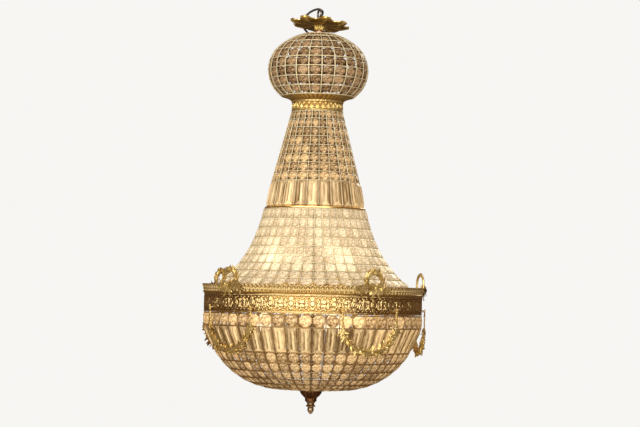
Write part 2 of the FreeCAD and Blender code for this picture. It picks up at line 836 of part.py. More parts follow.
# Neck: two stiff plates on the stem and the gilt relief collar between them.
PLATE = [
    ("stem_rad + fit_gap", "0"),
    ("neck_rad - neck_wall - fit_gap", "0"),
    ("neck_rad - neck_wall - fit_gap", "sheet_wall * 2"),
    ("stem_rad + fit_gap", "sheet_wall * 2"),
]
upper_plate = turned_body("upper_neck_plate", "neck_bottom + neck_band - sheet_wall * 2", PLATE)
lower_plate = turned_body("lower_neck_plate", "neck_bottom + 2", PLATE)
doc.recompute()
neck_plates = doc.addObject("Part::Compound", "neck_plate_pair")
neck_plates.Links = [upper_plate, lower_plate]
keep(neck_plates, "neck_plates")
keep(
    turned_body(
        "neck_collar_body",
        "neck_bottom",
        [
            ("neck_rad - neck_wall", "0"),
            ("neck_rad + 2.6", "0"),
            ("neck_rad + 2.6", "1.8"),
            ("neck_rad", "3.2"),
            ("neck_rad", "neck_band"),
            ("neck_rad + 2.4", "neck_band + 1.2"),
            ("neck_rad + 3.4", "neck_band + 4"),
            ("neck_rad + neck_cup_out * 0.5", "neck_band + 9"),
            ("neck_rad + neck_cup_out", "neck_height - neck_cup_drop - 1.4"),
            ("neck_rad + neck_cup_out", "neck_height - neck_cup_drop"),
            ("neck_rad + neck_cup_out - 2", "neck_height - neck_cup_drop"),
            ("neck_rad + neck_cup_out * 0.5 - 2.4", "neck_band + 10.6"),
            ("neck_rad - neck_wall", "neck_band + 4"),
        ],
    ),
    "neck_collar",
)

# Cone: rows of octagons that grow downwards, then one row of prism bars.
cone_profile = Profile(value("cone_top_rad"), value("neck_bottom"))
octagon_length = value("cone_rows_length")
cone_profile.add(octagon_length, value("cone_slope"))
cone_profile.add(value("cone_bar_height"), value("cone_bar_slope"))
cone_rows = evenly(0.0, octagon_length, int(value("cone_rows")))
cone_columns = int(value("cone_columns"))
end_gap = value("wire_rad + braze_gap")
computed(
    "cone_ribs",
    cage_ribs(cone_profile, cone_columns, BALL_TURN, end_gap, cone_profile.length - end_gap),
)
computed("cone_hoops", cage_hoops(cone_profile, [end_gap * 2] + cone_rows[1:]))
cone_crystals = []
for top, foot in zip(cone_rows, cone_rows[1:]):
    cone_crystals += octagon_row(cone_profile, top, foot, cone_columns, BALL_TURN)
computed("cone_crystals", cone_crystals)
computed(
    "cone_baguettes",
    bar_row(cone_profile, octagon_length, cone_profile.length, cone_columns, BALL_TURN),
)

# Step ring between cone and skirt, carried on the stem by a four-armed spider.
keep(
    turned_body(
        "skirt_top_ring_body",
        "skirt_top",
        [
            ("cone_end_rad - 9", "0"),
            ("skirt_top_rad + 1", "0"),
            ("skirt_top_rad + 1", "step_height * 0.5"),
            ("cone_end_rad + 1", "step_height"),
            ("cone_end_rad - 9", "step_height"),
        ],
    ),
    "skirt_top_ring",
)
spar = Part.makeBox(
    value("cone_end_rad - 9 - fit_gap - stem_rad - fit_gap"),
    value("spar_width") / 2,
    value("step_height - 1"),
    Vector(value("stem_rad + fit_gap"), -value("spar_width") / 4, value("skirt_top") + 0.5),
)
stem_hole = Part.makeCylinder(
    value("stem_rad + fit_gap"), value("step_height"), Vector(0, 0, value("skirt_top"))
)
step_boss = Part.makeCylinder(
    value("spider_hub_rad"), value("step_height - 1"), Vector(0, 0, value("skirt_top") + 0.5)
)
computed("step_spider", [step_boss.multiFuse(ring_of(spar, 4, 45.0)).cut(stem_hole).removeSplitter()])

# Skirt: the flared tent of octagons from the step ring to the main ring.
skirt_profile = Profile(value("skirt_top_rad"), value("skirt_top"))
upper_length = value("skirt_length * skirt_upper_share")
skirt_profile.add(upper_length, value("skirt_top_slope"), value("skirt_mid_slope"))
skirt_profile.add(
    value("skirt_length") - upper_length, value("skirt_mid_slope"), value("skirt_end_slope")
)
skirt_rows = evenly(0.0, skirt_profile.length, int(value("skirt_rows")))
skirt_columns = int(value("skirt_columns"))
computed(
    "skirt_ribs",
    cage_ribs(skirt_profile, skirt_columns, 0.0, end_gap, skirt_profile.length - end_gap * 1.4),
)
computed("skirt_hoops", cage_hoops(skirt_profile, [end_gap * 2] + skirt_rows[1:-1]))
skirt_crystals = []
for top, foot in zip(skirt_rows, skirt_rows[1:]):
    skirt_crystals += octagon_row(skirt_profile, top, foot, skirt_columns, 0.0)
computed("skirt_crystals", skirt_crystals)

# Main ring: a steel angle inside, and cast brass outside in three courses. The ornaments'
# screws and pegs and the spider's screws have their holes in them.
ORNAMENT_TURNS = [
    value("left_ornament_turn"),
    value("front_ornament_turn"),
    value("right_ornament_turn"),
    value("back_right_ornament_turn"),
    value("back_left_ornament_turn"),
]
WREATH_TURNS = list(ORNAMENT_TURNS)
WREATH_TURNS[1] += value("front_wreath_shift")
band_face = value("ring_rad + band_out")
lug_height = value("ring_bottom + festoon_lug_rise")
festoon_spread = value("festoon_spread")
lug_turns = [turn + side * festoon_spread for turn in ORNAMENT_TURNS for side in (-1, 1)]
spider_turns = evenly(value("spider_turn"), value("spider_turn") + 360.0, int(value("spider_arms")))[:-1]
tab_height = value("spider_hub_rad")
spider_foot = value("spider_foot")
tab_screw_height = spider_foot + tab_height * 0.68


def radial_bar(radius, inner, outer, height):
    """A round bar that points outwards at the front."""
    return Part.makeCylinder(radius, outer - inner, front_point(inner, height), Vector(0, -1, 0))


def turned_copies(shape, turns):
    return [around(shape, turn) for turn in turns]


def holes_object(name, shapes):
    part = doc.addObject("Part::Feature", name)
    part.Shape = Part.makeCompound(shapes)
    return part


screw_hole = radial_bar(
    value("screw_rad + fit_gap / 3"), value("ring_rad - 30"), value("ring_rad + 40"), lug_height
)
tab_hole = radial_bar(
    value("screw_rad + fit_gap / 3"), value("ring_rad - 30"), value("ring_rad + 1"), tab_screw_height
)
core_holes = holes_object(
    "core_holes", turned_copies(screw_hole, lug_turns) + turned_copies(tab_hole, spider_turns)
)
band_holes = holes_object("band_holes", turned_copies(screw_hole, lug_turns))
core_turned = turned_body(
    "ring_core_turned",
    "ring_bottom",
    [
        ("ring_rad - ring_wall", "2"),
        ("ring_rad - fit_gap", "2"),
        ("ring_rad - fit_gap", "ring_top - ring_bottom - 1"),
        ("ring_rad - flange_reach", "ring_top - ring_bottom - 1"),
        ("ring_rad - flange_reach", "ring_top - ring_bottom - 1 - flange_thick"),
        ("ring_rad - ring_wall", "ring_top - ring_bottom - 1 - flange_thick"),
    ],
)
keep(joined("Cut", "ring_core_body", core_turned, core_holes), "ring_core")
band_turned = turned_body(
    "lower_band_turned",
    "ring_bottom",
    [
        ("ring_rad", "0"),
        ("ring_rad + band_out", "0"),
        ("ring_rad + band_out + 1.8", "1.2"),
        ("ring_rad + band_out + 1.8", "3.6"),
        ("ring_rad + band_out", "4.8"),
        ("ring_rad + band_out", "band_height"),
        ("ring_rad", "band_height"),
    ],
)
keep(joined("Cut", "lower_band_body", band_turned, band_holes), "lower_band")
keep(
    turned_body(
        "moulding_body",
        "moulding_foot",
        [
            ("ring_rad", "0"),
            ("ring_rad + band_out", "0"),
            ("ring_rad + band_out + 2.6", "moulding_height * 0.25"),
            ("ring_rad + band_out + 3.4", "moulding_height * 0.5"),
            ("ring_rad + band_out + 2.6", "moulding_height * 0.75"),
            ("ring_rad + band_out", "moulding_height"),
            ("ring_rad", "moulding_height"),
        ],
    ),
    "ring_moulding",
)
cornice_turned = turned_body(
    "cornice_turned",
    "cornice_foot",
    [
        ("ring_rad", "0"),
        ("ring_rad + band_out + 0.5", "0"),
        ("ring_rad + band_out + 0.8", "cornice_height * 0.35"),
        ("ring_rad + cornice_out - 3", "cornice_height * 0.7"),
        ("ring_rad + cornice_out", "cornice_height - 2.4"),
        ("ring_rad + cornice_out", "cornice_height"),
        ("ring_rad", "cornice_height"),
    ],
)
wreath_place = value("ring_rad + cornice_out - wreath_inset")
ring_top = value("ring_top")
peg_holes = []
for side in (-1, 1):
    peg_hole = Part.makeCylinder(
        value("peg_rad + seat_gap"),
        value("peg_length + 1"),
        front_point(wreath_place, ring_top - value("peg_length + 0.5"), side * value("wreath_rad")),
    )
    peg_holes += turned_copies(peg_hole, WREATH_TURNS)
keep(
    joined("Cut", "cornice_body", cornice_turned, holes_object("cornice_holes", peg_holes)),
    "cornice_frieze",
)

# Ring spider: flat spars from a hub on the tie rod to upturned tabs inside the ring.
spar_width = value("spar_width")
spar_thick = value("spar_thick")
tab_face = math.sqrt(value("ring_rad - ring_wall - seat_gap") ** 2 - (spar_width / 2) ** 2)
corner = Vector(-spar_width / 2, -tab_face, spider_foot)
spar = Part.makeBox(spar_width, tab_face, spar_thick, corner)
spar = spar.fuse(Part.makeBox(spar_width, spar_thick, tab_height, corner))
spider_boss = Part.makeCylinder(value("spider_hub_rad"), spar_thick, Vector(0, 0, spider_foot))
rod_hole = Part.makeCylinder(
    value("rod_rad + fit_gap"), spar_thick * 3, Vector(0, 0, spider_foot - spar_thick)
)
ring_spider = spider_boss.multiFuse(turned_copies(spar, spider_turns))
ring_spider = ring_spider.cut(rod_hole).cut(Part.makeCompound(turned_copies(tab_hole, spider_turns)))
computed("ring_spider", [ring_spider.removeSplitter()])

# Screws: the heads are inside the ring, out of sight.
screw_rad = value("screw_rad")


def screw(head_face, tip, height):
    """A slotted pan-head screw that points outwards at the front."""
    head_height = value("screw_head_height")
    shaft = radial_bar(screw_rad, head_face - 0.5, tip, height)
    head = radial_bar(value("screw_head_rad"), head_face - head_height, head_face, height)
    slot = Part.makeBox(
        value("screw_head_rad") * 2,
        head_height * 0.4,
        1.0,
        front_point(head_face - head_height * 0.6, height - 0.5, -value("screw_head_rad")),
    )
    return shaft.fuse(head).cut(slot).removeSplitter()


tab_screw = screw(tab_face - spar_thick - value("seat_gap"), value("ring_rad - 1"), tab_screw_height)
computed("ring_screws", turned_copies(tab_screw, spider_turns))
core_inside = value("ring_rad - ring_wall")
head_seat = math.sqrt(core_inside**2 - value("screw_head_rad") ** 2) - value("seat_gap")
lug_screw = screw(head_seat, band_face + 5.0, lug_height)
computed("ornament_screws", turned_copies(lug_screw, lug_turns))

# Wreaths: a laurel hoop that stands on the cornice, with a ribbon bow hanging in front.
wreath_rad = value("wreath_rad")
wreath_thick = value("wreath_thick")
leg_top = ring_top + value("wreath_leg")


def line(start, end):
    return Part.LineSegment(start, end).toShape()


def arc(start, middle, end):
    return Part.Arc(start, middle, end).toShape()


def bar(start, end, radius):
    return Part.makeCylinder(radius, (end - start).Length, start, end - start)


left_foot = front_point(wreath_place, ring_top, -wreath_rad)
left_shoulder = front_point(wreath_place, leg_top, -wreath_rad)
crown = front_point(wreath_place, leg_top + wreath_rad)
right_shoulder = front_point(wreath_place, leg_top, wreath_rad)
right_foot = front_point(wreath_place, ring_top, wreath_rad)
hoop = bar_along(
    [
        line(left_foot, left_shoulder),
        arc(left_shoulder, crown, right_shoulder),
        line(right_shoulder, right_foot),
    ],
    wreath_thick,
)
bow_place = value("ring_rad + cornice_out + bow_standoff")
bow_wire = value("bow_wire")
loop_rad = value("bow_loop_rad")
knot = front_point(bow_place, ring_top - value("bow_drop"))
cross_height = ring_top + bow_wire + 0.8
cross = front_point(bow_place, cross_height)
cross_bar_rad = bow_wire + 0.4
wreath_pieces = [
    bar(
        front_point(wreath_place, cross_height, -wreath_rad),
        front_point(wreath_place, cross_height, wreath_rad),
        cross_bar_rad,
    ),
    bar(front_point(wreath_place, cross_height), cross, bow_wire),
    bar(cross, knot, bow_wire),
    Part.makeSphere(bow_wire, cross),
    Part.makeSphere(value("knot_rad"), knot),
]
for side in (-1, 1):
    peg_foot = front_point(wreath_place, ring_top - value("peg_length"), side * wreath_rad)
    tail = knot + Vector(side * loop_rad * 1.4, 0, -value("bow_tail"))
    loop_centre = knot + Vector(side * (loop_rad + bow_wire), 0, -bow_wire)
    wreath_pieces += [
        Part.makeCylinder(value("peg_rad"), value("peg_length + 2"), peg_foot),
        bar(knot, tail, bow_wire * 0.9),
        Part.makeTorus(loop_rad, bow_wire, loop_centre, Vector(0, 1, 0)),
    ]
wreath = hoop.multiFuse(wreath_pieces).removeSplitter()
for number, turn in enumerate(WREATH_TURNS, 1):
    computed(f"wreath_{number}", [around(wreath, turn)])

# Festoons: a swag that hangs from two beaded stems, each with a lug screwed to the band.
# They stand off the band, and never nearer to the basket than their clearance.
festoon_place = max(
    value("ring_rad + band_out + festoon_standoff"), value("basket_rad + festoon_clearance")
)
swing = math.radians(festoon_spread)
half_chord = festoon_place * math.sin(swing)
swag_plane = festoon_place * math.cos(swing)
sag = value("festoon_sag")
stem_foot_height = lug_height - value("festoon_stem")
swag_centre = stem_foot_height + (half_chord**2 - sag**2) / (2 * sag)
swag = bar_along(
    [
        arc(
            front_point(swag_plane, stem_foot_height, -half_chord),
            front_point(swag_plane, stem_foot_height - sag),
            front_point(swag_plane, stem_foot_height, half_chord),
        )
    ],
    value("festoon_thick"),
)
festoon_pieces = []
for side in (-1, 1):
    stem_foot_at = front_point(swag_plane, stem_foot_height, side * half_chord)
    lug_at = front_point(swag_plane, lug_height, side * half_chord)
    festoon_pieces += [
        bar(stem_foot_at, lug_at, value("stem_thick")),
        Part.makeSphere(value("lug_rad"), lug_at),
        Part.makeSphere(value("festoon_thick + 1"), stem_foot_at),
        around(
            radial_bar(value("lug_rad"), band_face + value("seat_gap"), festoon_place, lug_height),
            side * festoon_spread,
        ),
    ]
tapped_hole = radial_bar(screw_rad + value("seat_gap"), band_face - 1, band_face + 5.3, lug_height)
festoon = swag.multiFuse(festoon_pieces).cut(
    Part.makeCompound([around(tapped_hole, side * festoon_spread) for side in (-1, 1)])
)
festoon = festoon.removeSplitter()
for number, turn in enumerate(ORNAMENT_TURNS, 1):
    computed(f"festoon_{number}", [around(festoon, turn)])

# Basket: an upright row, a row of prism bars, then octagons that close in to the plate.
basket_profile = Profile(value("basket_rad"), value("ring_bottom"))
bar_top = value("basket_top_height")
basket_profile.add(bar_top, 0.0)
basket_profile.add(value("basket_bar_height"), -value("basket_bar_slope"))
bar_foot = basket_profile.length
curve_start = value("basket_curve_start")
curve_end = value("basket_curve_end")
basket_profile.add(
    value("basket_curve_rad") * math.radians(curve_end - curve_start), -curve_start, -curve_end
)
basket_profile.add(value("basket_flat"), -curve_end)
last_row = basket_profile.length
basket_profile.add(value("basket_overlap"), -curve_end)
basket_columns = int(value("basket_columns"))
fine_rows = int(value("basket_fine_rows"))
basket_rows = evenly(bar_foot, last_row, int(value("basket_rows")))
ribs_end = basket_profile.length
bend_gap = 0.6
upright_rib = bar_along(basket_profile.edges(end_gap, bar_top - bend_gap), value("wire_rad"))
bar_rib = bar_along(basket_profile.edges(bar_top + bend_gap, bar_foot - bend_gap), value("wire_rad"))
short_rib = bar_along(basket_profile.edges(bar_foot + bend_gap, basket_rows[fine_rows]), value("wire_rad"))
long_rib = bar_along(basket_profile.edges(bar_foot + bend_gap, ribs_end), value("wire_rad"))
half_turn = 360.0 / basket_columns
basket_ribs = ring_of(upright_rib, basket_columns) + ring_of(bar_rib, basket_columns)
basket_ribs += ring_of(long_rib, basket_columns // 2)
basket_ribs += ring_of(short_rib, basket_columns // 2, half_turn)
computed("basket_ribs", basket_ribs)
computed(
    "basket_hoops", cage_hoops(basket_profile, [end_gap * 2, bar_top] + basket_rows)
)
computed(
    "basket_top_crystals", octagon_row(basket_profile, end_gap, bar_top, basket_columns, 0.0)
)
computed("basket_baguettes", bar_row(basket_profile, bar_top, bar_foot, basket_columns, 0.0))
basket_crystals = []
for number, (top, foot) in enumerate(zip(basket_rows, basket_rows[1:])):
    columns = basket_columns if number < fine_rows else basket_columns // 2
    basket_crystals += octagon_row(basket_profile, top, foot, columns, 0.0)
computed("basket_crystals", basket_crystals)
keep(
    turned_body(
        "basket_plate_body",
        "plate_level - plate_thick",
        [
            ("rod_rad + fit_gap", "0"),
            ("basket_plate_rad - 1", "0"),
            ("basket_plate_rad", "1"),
            ("basket_plate_rad", "plate_thick"),
            ("rod_rad + fit_gap", "plate_thick"),
        ],
    ),
    "basket_plate",
)

# Lamp hub and its two tiers of arms, each a tube with a lead inside it.
hub_shell = turned_body(
    "hub_shell",
    "hub_bottom",
    [
        ("rod_rad + seat_gap", "0"),
        ("hub_rad - 2", "0"),
        ("hub_rad", "2"),
        ("hub_rad", "hub_height - 2"),
        ("hub_rad - 2", "hub_height"),
        ("stem_rad + seat_gap", "hub_height"),
        ("stem_rad + seat_gap", "hub_height - arm_seat"),
        ("hub_rad - arm_seat", "hub_height - arm_seat"),
        ("hub_rad - arm_seat", "arm_seat"),
        ("rod_rad + seat_gap", "arm_seat"),
    ],
)
hub_bottom = value("hub_bottom")
lamp_turn = value("lamp_turn")
hub_inside = value("hub_rad - arm_seat")


class Tier:
    """One tier of lamps: where its arms leave the hub and which way they bend."""

    def __init__(self, name, level, reach, count, way):
        self.height = hub_bottom + value(level)
        self.reach = value(reach)
        self.way = way
        count = int(value(count))
        self.turns = [lamp_turn + 360.0 * number / count for number in range(count)]
        bend = value("arm_bend")
        self.socket_height = self.height + way * (bend + value("arm_rise") - value("socket_wall"))

    def path(self, inner, extra):
        """The arm's line from the hub out, round the bend and on to the socket."""
        bend = value("arm_bend")
        shift = bend * (1 - math.sqrt(0.5))
        bend_in = front_point(self.reach - bend, self.height)
        bend_middle = front_point(self.reach - shift, self.height + self.way * shift)
        bend_out = front_point(self.reach, self.height + self.way * bend)
        tip = bend_out + UP * (self.way * (value("arm_rise") + extra))
        return [
            line(front_point(inner, self.height), bend_in),
            arc(bend_in, bend_middle, bend_out),
            line(bend_out, tip),
        ]

    def standing(self, shape):
        """Copies of a shape made on the origin, set on each arm's end."""
        placed = shape.copy()
        turn = Rotation() if self.way > 0 else Rotation(Vector(1, 0, 0), 180)
        stand = Placement(front_point(self.reach, self.socket_height), turn)
        placed.Placement = stand.multiply(placed.Placement)
        return turned_copies(placed, self.turns)


tiers = [
    Tier("upper", "upper_level", "upper_reach", "upper_lamps", 1),
    Tier("lower", "lower_level", "lower_reach", "lower_lamps", -1),
]
arm_holes = []
lamp_arms = []
arm_wires = []
for tier in tiers:
    hole = radial_bar(value("arm_rad + seat_gap"), hub_inside - 3, value("hub_rad + 3"), tier.height)
    arm_holes += turned_copies(hole, tier.turns)
    arm = tube_along(tier.path(hub_inside, 0.0), value("arm_rad"), value("arm_bore"))
    lamp_arms += turned_copies(arm, tier.turns)
    lead = bar_along(tier.path(hub_inside - 3, value("fit_gap")), value("lead_rad"))
    arm_wires += turned_copies(lead, tier.turns)
keep(
    joined("Cut", "lamp_hub_body", hub_shell, holes_object("arm_holes", arm_holes)),
    "lamp_hub",
)
computed("lamp_arms", lamp_arms)
computed("arm_wires", arm_wires)


def turned(outline):
    """A solid of revolution about the upright axis through the origin."""
    corners = [Vector(across, 0, up) for across, up in outline]
    face = Part.Face(Part.makePolygon(corners + corners[:1]))
    return face.revolve(ORIGIN, UP, 360)


socket_rad = value("socket_rad")
socket_height = value("socket_height")
socket_wall = value("socket_wall")
pan_rad = value("drip_rad")
pan_height = value("drip_height")
arm_fit = value("arm_rad + seat_gap")
socket = turned(
    [
        (arm_fit, 0),
        (socket_rad, 0),
        (pan_rad - 3, pan_height * 0.3),
        (pan_rad, pan_height),
        (pan_rad - 1.5, pan_height),
        (pan_rad - 4, pan_height * 0.3 + 1.8),
        (socket_rad, 2.2),
        (socket_rad, socket_height),
        (socket_rad - socket_wall, socket_height),
        (socket_rad - socket_wall, socket_wall),
        (arm_fit, socket_wall),
    ]
)
sleeve_inside = socket_rad + value("fit_gap")
sleeve = turned(
    [
        (sleeve_inside, 3.0),
        (sleeve_inside + 1.4, 3.0),
        (sleeve_inside + 1.4, socket_height + 2),
        (sleeve_inside, socket_height + 2),
    ]
)
bulb_rad = value("bulb_rad")
cap_rad = value("bulb_cap_rad")
cap_height = value("bulb_cap_height")
bulb_foot = socket_wall + 0.5
bulb_centre = value("bulb_height") - bulb_rad
shoulder_angle = math.radians(49)
shoulder_rad = bulb_rad * math.sin(shoulder_angle)
shoulder = Vector(shoulder_rad, 0, bulb_centre - bulb_rad * math.cos(shoulder_angle))
bulb_points = [
    Vector(0, 0, 0),
    Vector(cap_rad - 3, 0, 0),
    Vector(cap_rad, 0, 3),
    Vector(cap_rad, 0, cap_height),
    Vector(cap_rad + 2, 0, cap_height + 3),
    shoulder,
]
bulb_edges = [line(start, end) for start, end in zip(bulb_points, bulb_points[1:])]
bulb_top = Vector(0, 0, value("bulb_height"))
bulb_edges += [arc(shoulder, Vector(bulb_rad, 0, bulb_centre), bulb_top), line(bulb_top, ORIGIN)]
bulb = Part.Face(Part.Wire(bulb_edges)).revolve(ORIGIN, UP, 360)
bulb.translate(Vector(0, 0, bulb_foot))
computed("lamp_sockets", tiers[0].standing(socket) + tiers[1].standing(socket))
computed("candle_sleeves", tiers[0].standing(sleeve))
computed("lamp_bulbs", tiers[0].standing(bulb) + tiers[1].standing(bulb))

# Tie rod from the hub down to the finial's thread, and the nuts on stem and rod.
ROD_FOOT = "finial_top - bell_height - 4"
ROD_TOP = "hub_bottom + arm_seat + nut_height + 3"
keep(rod("tie_rod_body", "rod_rad", f"{ROD_TOP} - ({ROD_FOOT})", ROD_FOOT), "tie_rod")


def nut(bore, height):
    """A hexagon nut whose lower face is at a height."""
    corners = [
        Vector(
            value("nut_rad") * math.cos(math.radians(60 * number)),
            value("nut_rad") * math.sin(math.radians(60 * number)),
            height,
        )
        for number in range(6)
    ]
    blank = Part.Face(Part.makePolygon(corners + corners[:1])).extrude(UP * value("nut_height"))
    return blank.cut(Part.makeCylinder(bore, value("nut_height") * 3, Vector(0, 0, height - 5)))


stem_fit = value("stem_rad + seat_gap")
rod_fit = value("rod_rad + seat_gap")
nut_gap = value("nut_height + seat_gap")
computed(
    "stem_nuts",
    [
        nut(stem_fit, value("ball_pole - sheet_wall - seat_gap - nut_height")),
        nut(stem_fit, value("neck_bottom + 2 - seat_gap - nut_height")),
        nut(stem_fit, value("skirt_top + 0.5 - seat_gap - nut_height")),
        nut(rod_fit, value("hub_bottom + arm_seat + seat_gap")),
        nut(rod_fit, value("spider_foot - seat_gap - nut_height")),
        nut(rod_fit, value("plate_level + seat_gap")),
    ],
)

# Bottom cap and finial: the finial screws up the tie rod and holds the cap to the plate.
keep(
    turned_body(
        "bottom_cup_body",
        "cup_top - cup_height",
        [
            ("rod_rad + fit_gap", "0"),
            ("bell_rad + 1.5", "0"),
            ("bell_rad + 2.5", "2.5"),
            ("cup_rad * 0.55", "cup_height * 0.34"),
            ("cup_rad * 0.82", "cup_height * 0.6"),
            ("cup_rad * 0.97", "cup_height * 0.84"),
            ("cup_rad", "cup_height * 0.94"),
            ("cup_rad - 0.6", "cup_height"),
            ("cup_rad - 3", "cup_height"),
            ("cup_rad * 0.78", "cup_height * 0.72"),
            ("cup_rad * 0.5", "cup_height * 0.42"),
            ("bell_rad - 1", "cup_height * 0.2"),
            ("rod_rad + fit_gap", "cup_height * 0.2"),
        ],
    ),
    "bottom_cup",
)
keep(
    turned_body(
        "finial_body",
        "finial_top - bell_height - acorn_height",
        [
            ("rod_rad + running_gap", "acorn_height - 4.5"),
            ("0", "acorn_height - 4.5"),
            ("0", "0"),
            ("acorn_rad * 0.35", "0.8"),
            ("acorn_rad * 0.8", "acorn_height * 0.3"),
            ("acorn_rad", "acorn_height * 0.6"),
            ("acorn_rad * 0.86", "acorn_height * 0.86"),
            ("acorn_rad * 0.93", "acorn_height"),
            ("bell_rad", "acorn_height + 1"),
            ("bell_rad", "acorn_height + 3"),
            ("bell_rad * 0.8", "acorn_height + 5"),
            ("bell_rad * 0.76", "acorn_height + bell_height - 4"),
            ("bell_rad", "acorn_height + bell_height - 1.5"),
            ("bell_rad", "acorn_height + bell_height"),
            ("rod_rad + running_gap", "acorn_height + bell_height"),
        ],
    ),
    "finial",
)

# Supply flex: it leaves the gland, crosses the canopy and hangs limp behind the ball.
FLEX_POINTS = [
    (6.0, 36.0, 2.0),
    (8.0, 46.0, 13.0),
    (-2.0, 52.0, 20.0),
    (-18.0, 53.0, 14.5),
    (-32.0, 55.0, 3.0),
    (-40.0, 62.0, -11.0),
    (-35.0, 73.0, -24.0),
    (-22.0, 85.0, -36.0),
    (-10.0, 96.0, -52.0),
    (-5.0, 107.0, -75.0),
    (-4.0, 117.0, -100.0),
    (-4.0, 121.5, -129.0),
    (-5.0, 120.0, -160.0),
    (-6.0, 115.0, -192.0),
    (-8.0, 110.0, -223.0),
    (-10.0, 107.0, -252.0),
]
flex_start = gland_face
flex_path = [flex_start, flex_start + gland_way * 13.0] + [Vector(*point) for point in FLEX_POINTS]
flex_edges = []
flex_length = 0.0
run_start = flex_path[0]
bend_radii = []
for before, corner, after in zip(flex_path, flex_path[1:], flex_path[2:]):
    arriving = (corner - before).normalize()
    leaving = (after - corner).normalize()
    half_bend = arriving.getAngle(leaving) / 2
    shorter = min((corner - before).Length, (after - corner).Length)
    setback = 0.45 * shorter
    bend_rad = setback / math.tan(half_bend)
    bend_radii.append(bend_rad)
    bend_in = corner - arriving * setback
    bend_out = corner + leaving * setback
    inward = (leaving - arriving).normalize()
    middle = corner + inward * (bend_rad / math.cos(half_bend) - bend_rad)
    flex_edges += [line(run_start, bend_in), arc(bend_in, middle, bend_out)]
    flex_length += (bend_in - run_start).Length + bend_rad * half_bend * 2
    run_start = bend_out
flex_edges.append(line(run_start, flex_path[-1]))
flex_length += (flex_path[-1] - run_start).Length
flex_section = Part.Wire([Part.makeCircle(value("flex_rad"), flex_path[0], gland_way)])
flex = Part.Wire(flex_edges).makePipeShell([flex_section], True, False)
computed("supply_flex", [flex])
flex_volume = math.pi * value("flex_rad") ** 2 * flex_length
print(f"flex length {flex_length:.1f} mm, volume {flex.Volume:.0f} of {flex_volume:.0f} mm3")
print("flex bend radii " + " ".join(f"{bend_rad:.0f}" for bend_rad in bend_radii))

# Terminal block on the flex's free end, with two wire holes and their screw holes.
block_way = (flex_path[-1] - flex_path[-2]).normalize()
block_at = flex_path[-1]
block_length = value("block_length")
block_width = value("block_width")
block_thick = value("block_thick")
block = Part.makeBox(block_width, block_thick, block_length, Vector(-block_width / 2, -block_thick / 2, 0))
block_cuts = []
for side in (-1, 1):
    wire_hole = Vector(side * block_width / 4, 0, block_length - 8)
    screw_well = Vector(side * block_width / 4, -block_thick / 2 - 1, block_length - 6)
    block_cuts += [
        Part.makeCylinder(value("block_bore"), 9, wire_hole),
        Part.makeCylinder(
            value("block_screw_rad"), block_thick / 2, screw_well, Vector(0, 1, 0)
        ),
    ]
block = block.cut(Part.makeCompound(block_cuts))
block.Placement = Placement(block_at + block_way * value("seat_gap"), Rotation(UP, block_way))
computed("terminal_block", [block])

# Every piece must be sound before any file is written.
doc.recompute()
for piece in doc.Objects:
    if "Invalid" in piece.State or "Error" in piece.State:
        raise RuntimeError(f"{piece.Name} could not be computed: {piece.State}")
for label, piece in made_parts.items():
    if piece.Shape.isNull() or not piece.Shape.isValid():
        raise RuntimeError(f"{label} has no valid shape")
os.makedirs("parts", exist_ok=True)
for label, piece in made_parts.items():
    piece.Shape.exportStep(f"parts/{label}.step")
print(f"{len(made_parts)} sub-parts written")
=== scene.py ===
# %% [markdown]
# A basket chandelier hangs from one eye: a crystal ball, a tapered neck, a flared tent and a
# round basket, all of cut glass on brass wires, round one cast ring with wreaths and swags.
# The frame is loaded first, because every size below is measured from it or fitted to it.

# %% The frame
import bpy
import bmesh
import math
from mathutils import Matrix, Vector


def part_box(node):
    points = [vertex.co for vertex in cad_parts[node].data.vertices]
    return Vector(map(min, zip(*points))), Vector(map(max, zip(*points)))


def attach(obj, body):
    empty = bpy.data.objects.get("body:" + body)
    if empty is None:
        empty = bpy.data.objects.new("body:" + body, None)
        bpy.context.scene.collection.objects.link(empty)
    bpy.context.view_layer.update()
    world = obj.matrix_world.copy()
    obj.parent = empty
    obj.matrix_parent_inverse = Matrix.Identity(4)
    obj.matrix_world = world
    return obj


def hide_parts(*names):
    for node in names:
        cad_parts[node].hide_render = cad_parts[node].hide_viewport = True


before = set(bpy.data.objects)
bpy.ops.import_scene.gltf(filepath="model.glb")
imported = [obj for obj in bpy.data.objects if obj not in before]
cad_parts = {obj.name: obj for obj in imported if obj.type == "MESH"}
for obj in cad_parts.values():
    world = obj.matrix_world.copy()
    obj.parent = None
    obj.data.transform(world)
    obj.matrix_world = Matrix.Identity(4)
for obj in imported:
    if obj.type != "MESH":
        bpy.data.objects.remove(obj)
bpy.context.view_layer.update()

MM = 0.001
UP = Vector((0, 0, 1))
BACK = Vector((0, 1, 0))
ACROSS = Vector((1, 0, 0))


def turned(degrees, axis):
    """A turn about an axis, as a matrix."""
    return Matrix.Rotation(math.radians(degrees), 4, axis)


# %% [markdown]
# The camera stands 4.4 metres away with a long lens, a little below the main ring, and looks
# slightly up. The photo leans by a little over one degree, so the camera is rolled by that much.

# %% Camera
PIXELS_WIDE = 640
EYE_LEVEL = -0.644
DISTANCE = 4.388
SIDE_STEP = 0.0112
MM_PER_PIXEL = 2.2422
PITCH = math.radians(2.53)
ROLL = math.radians(1.3)

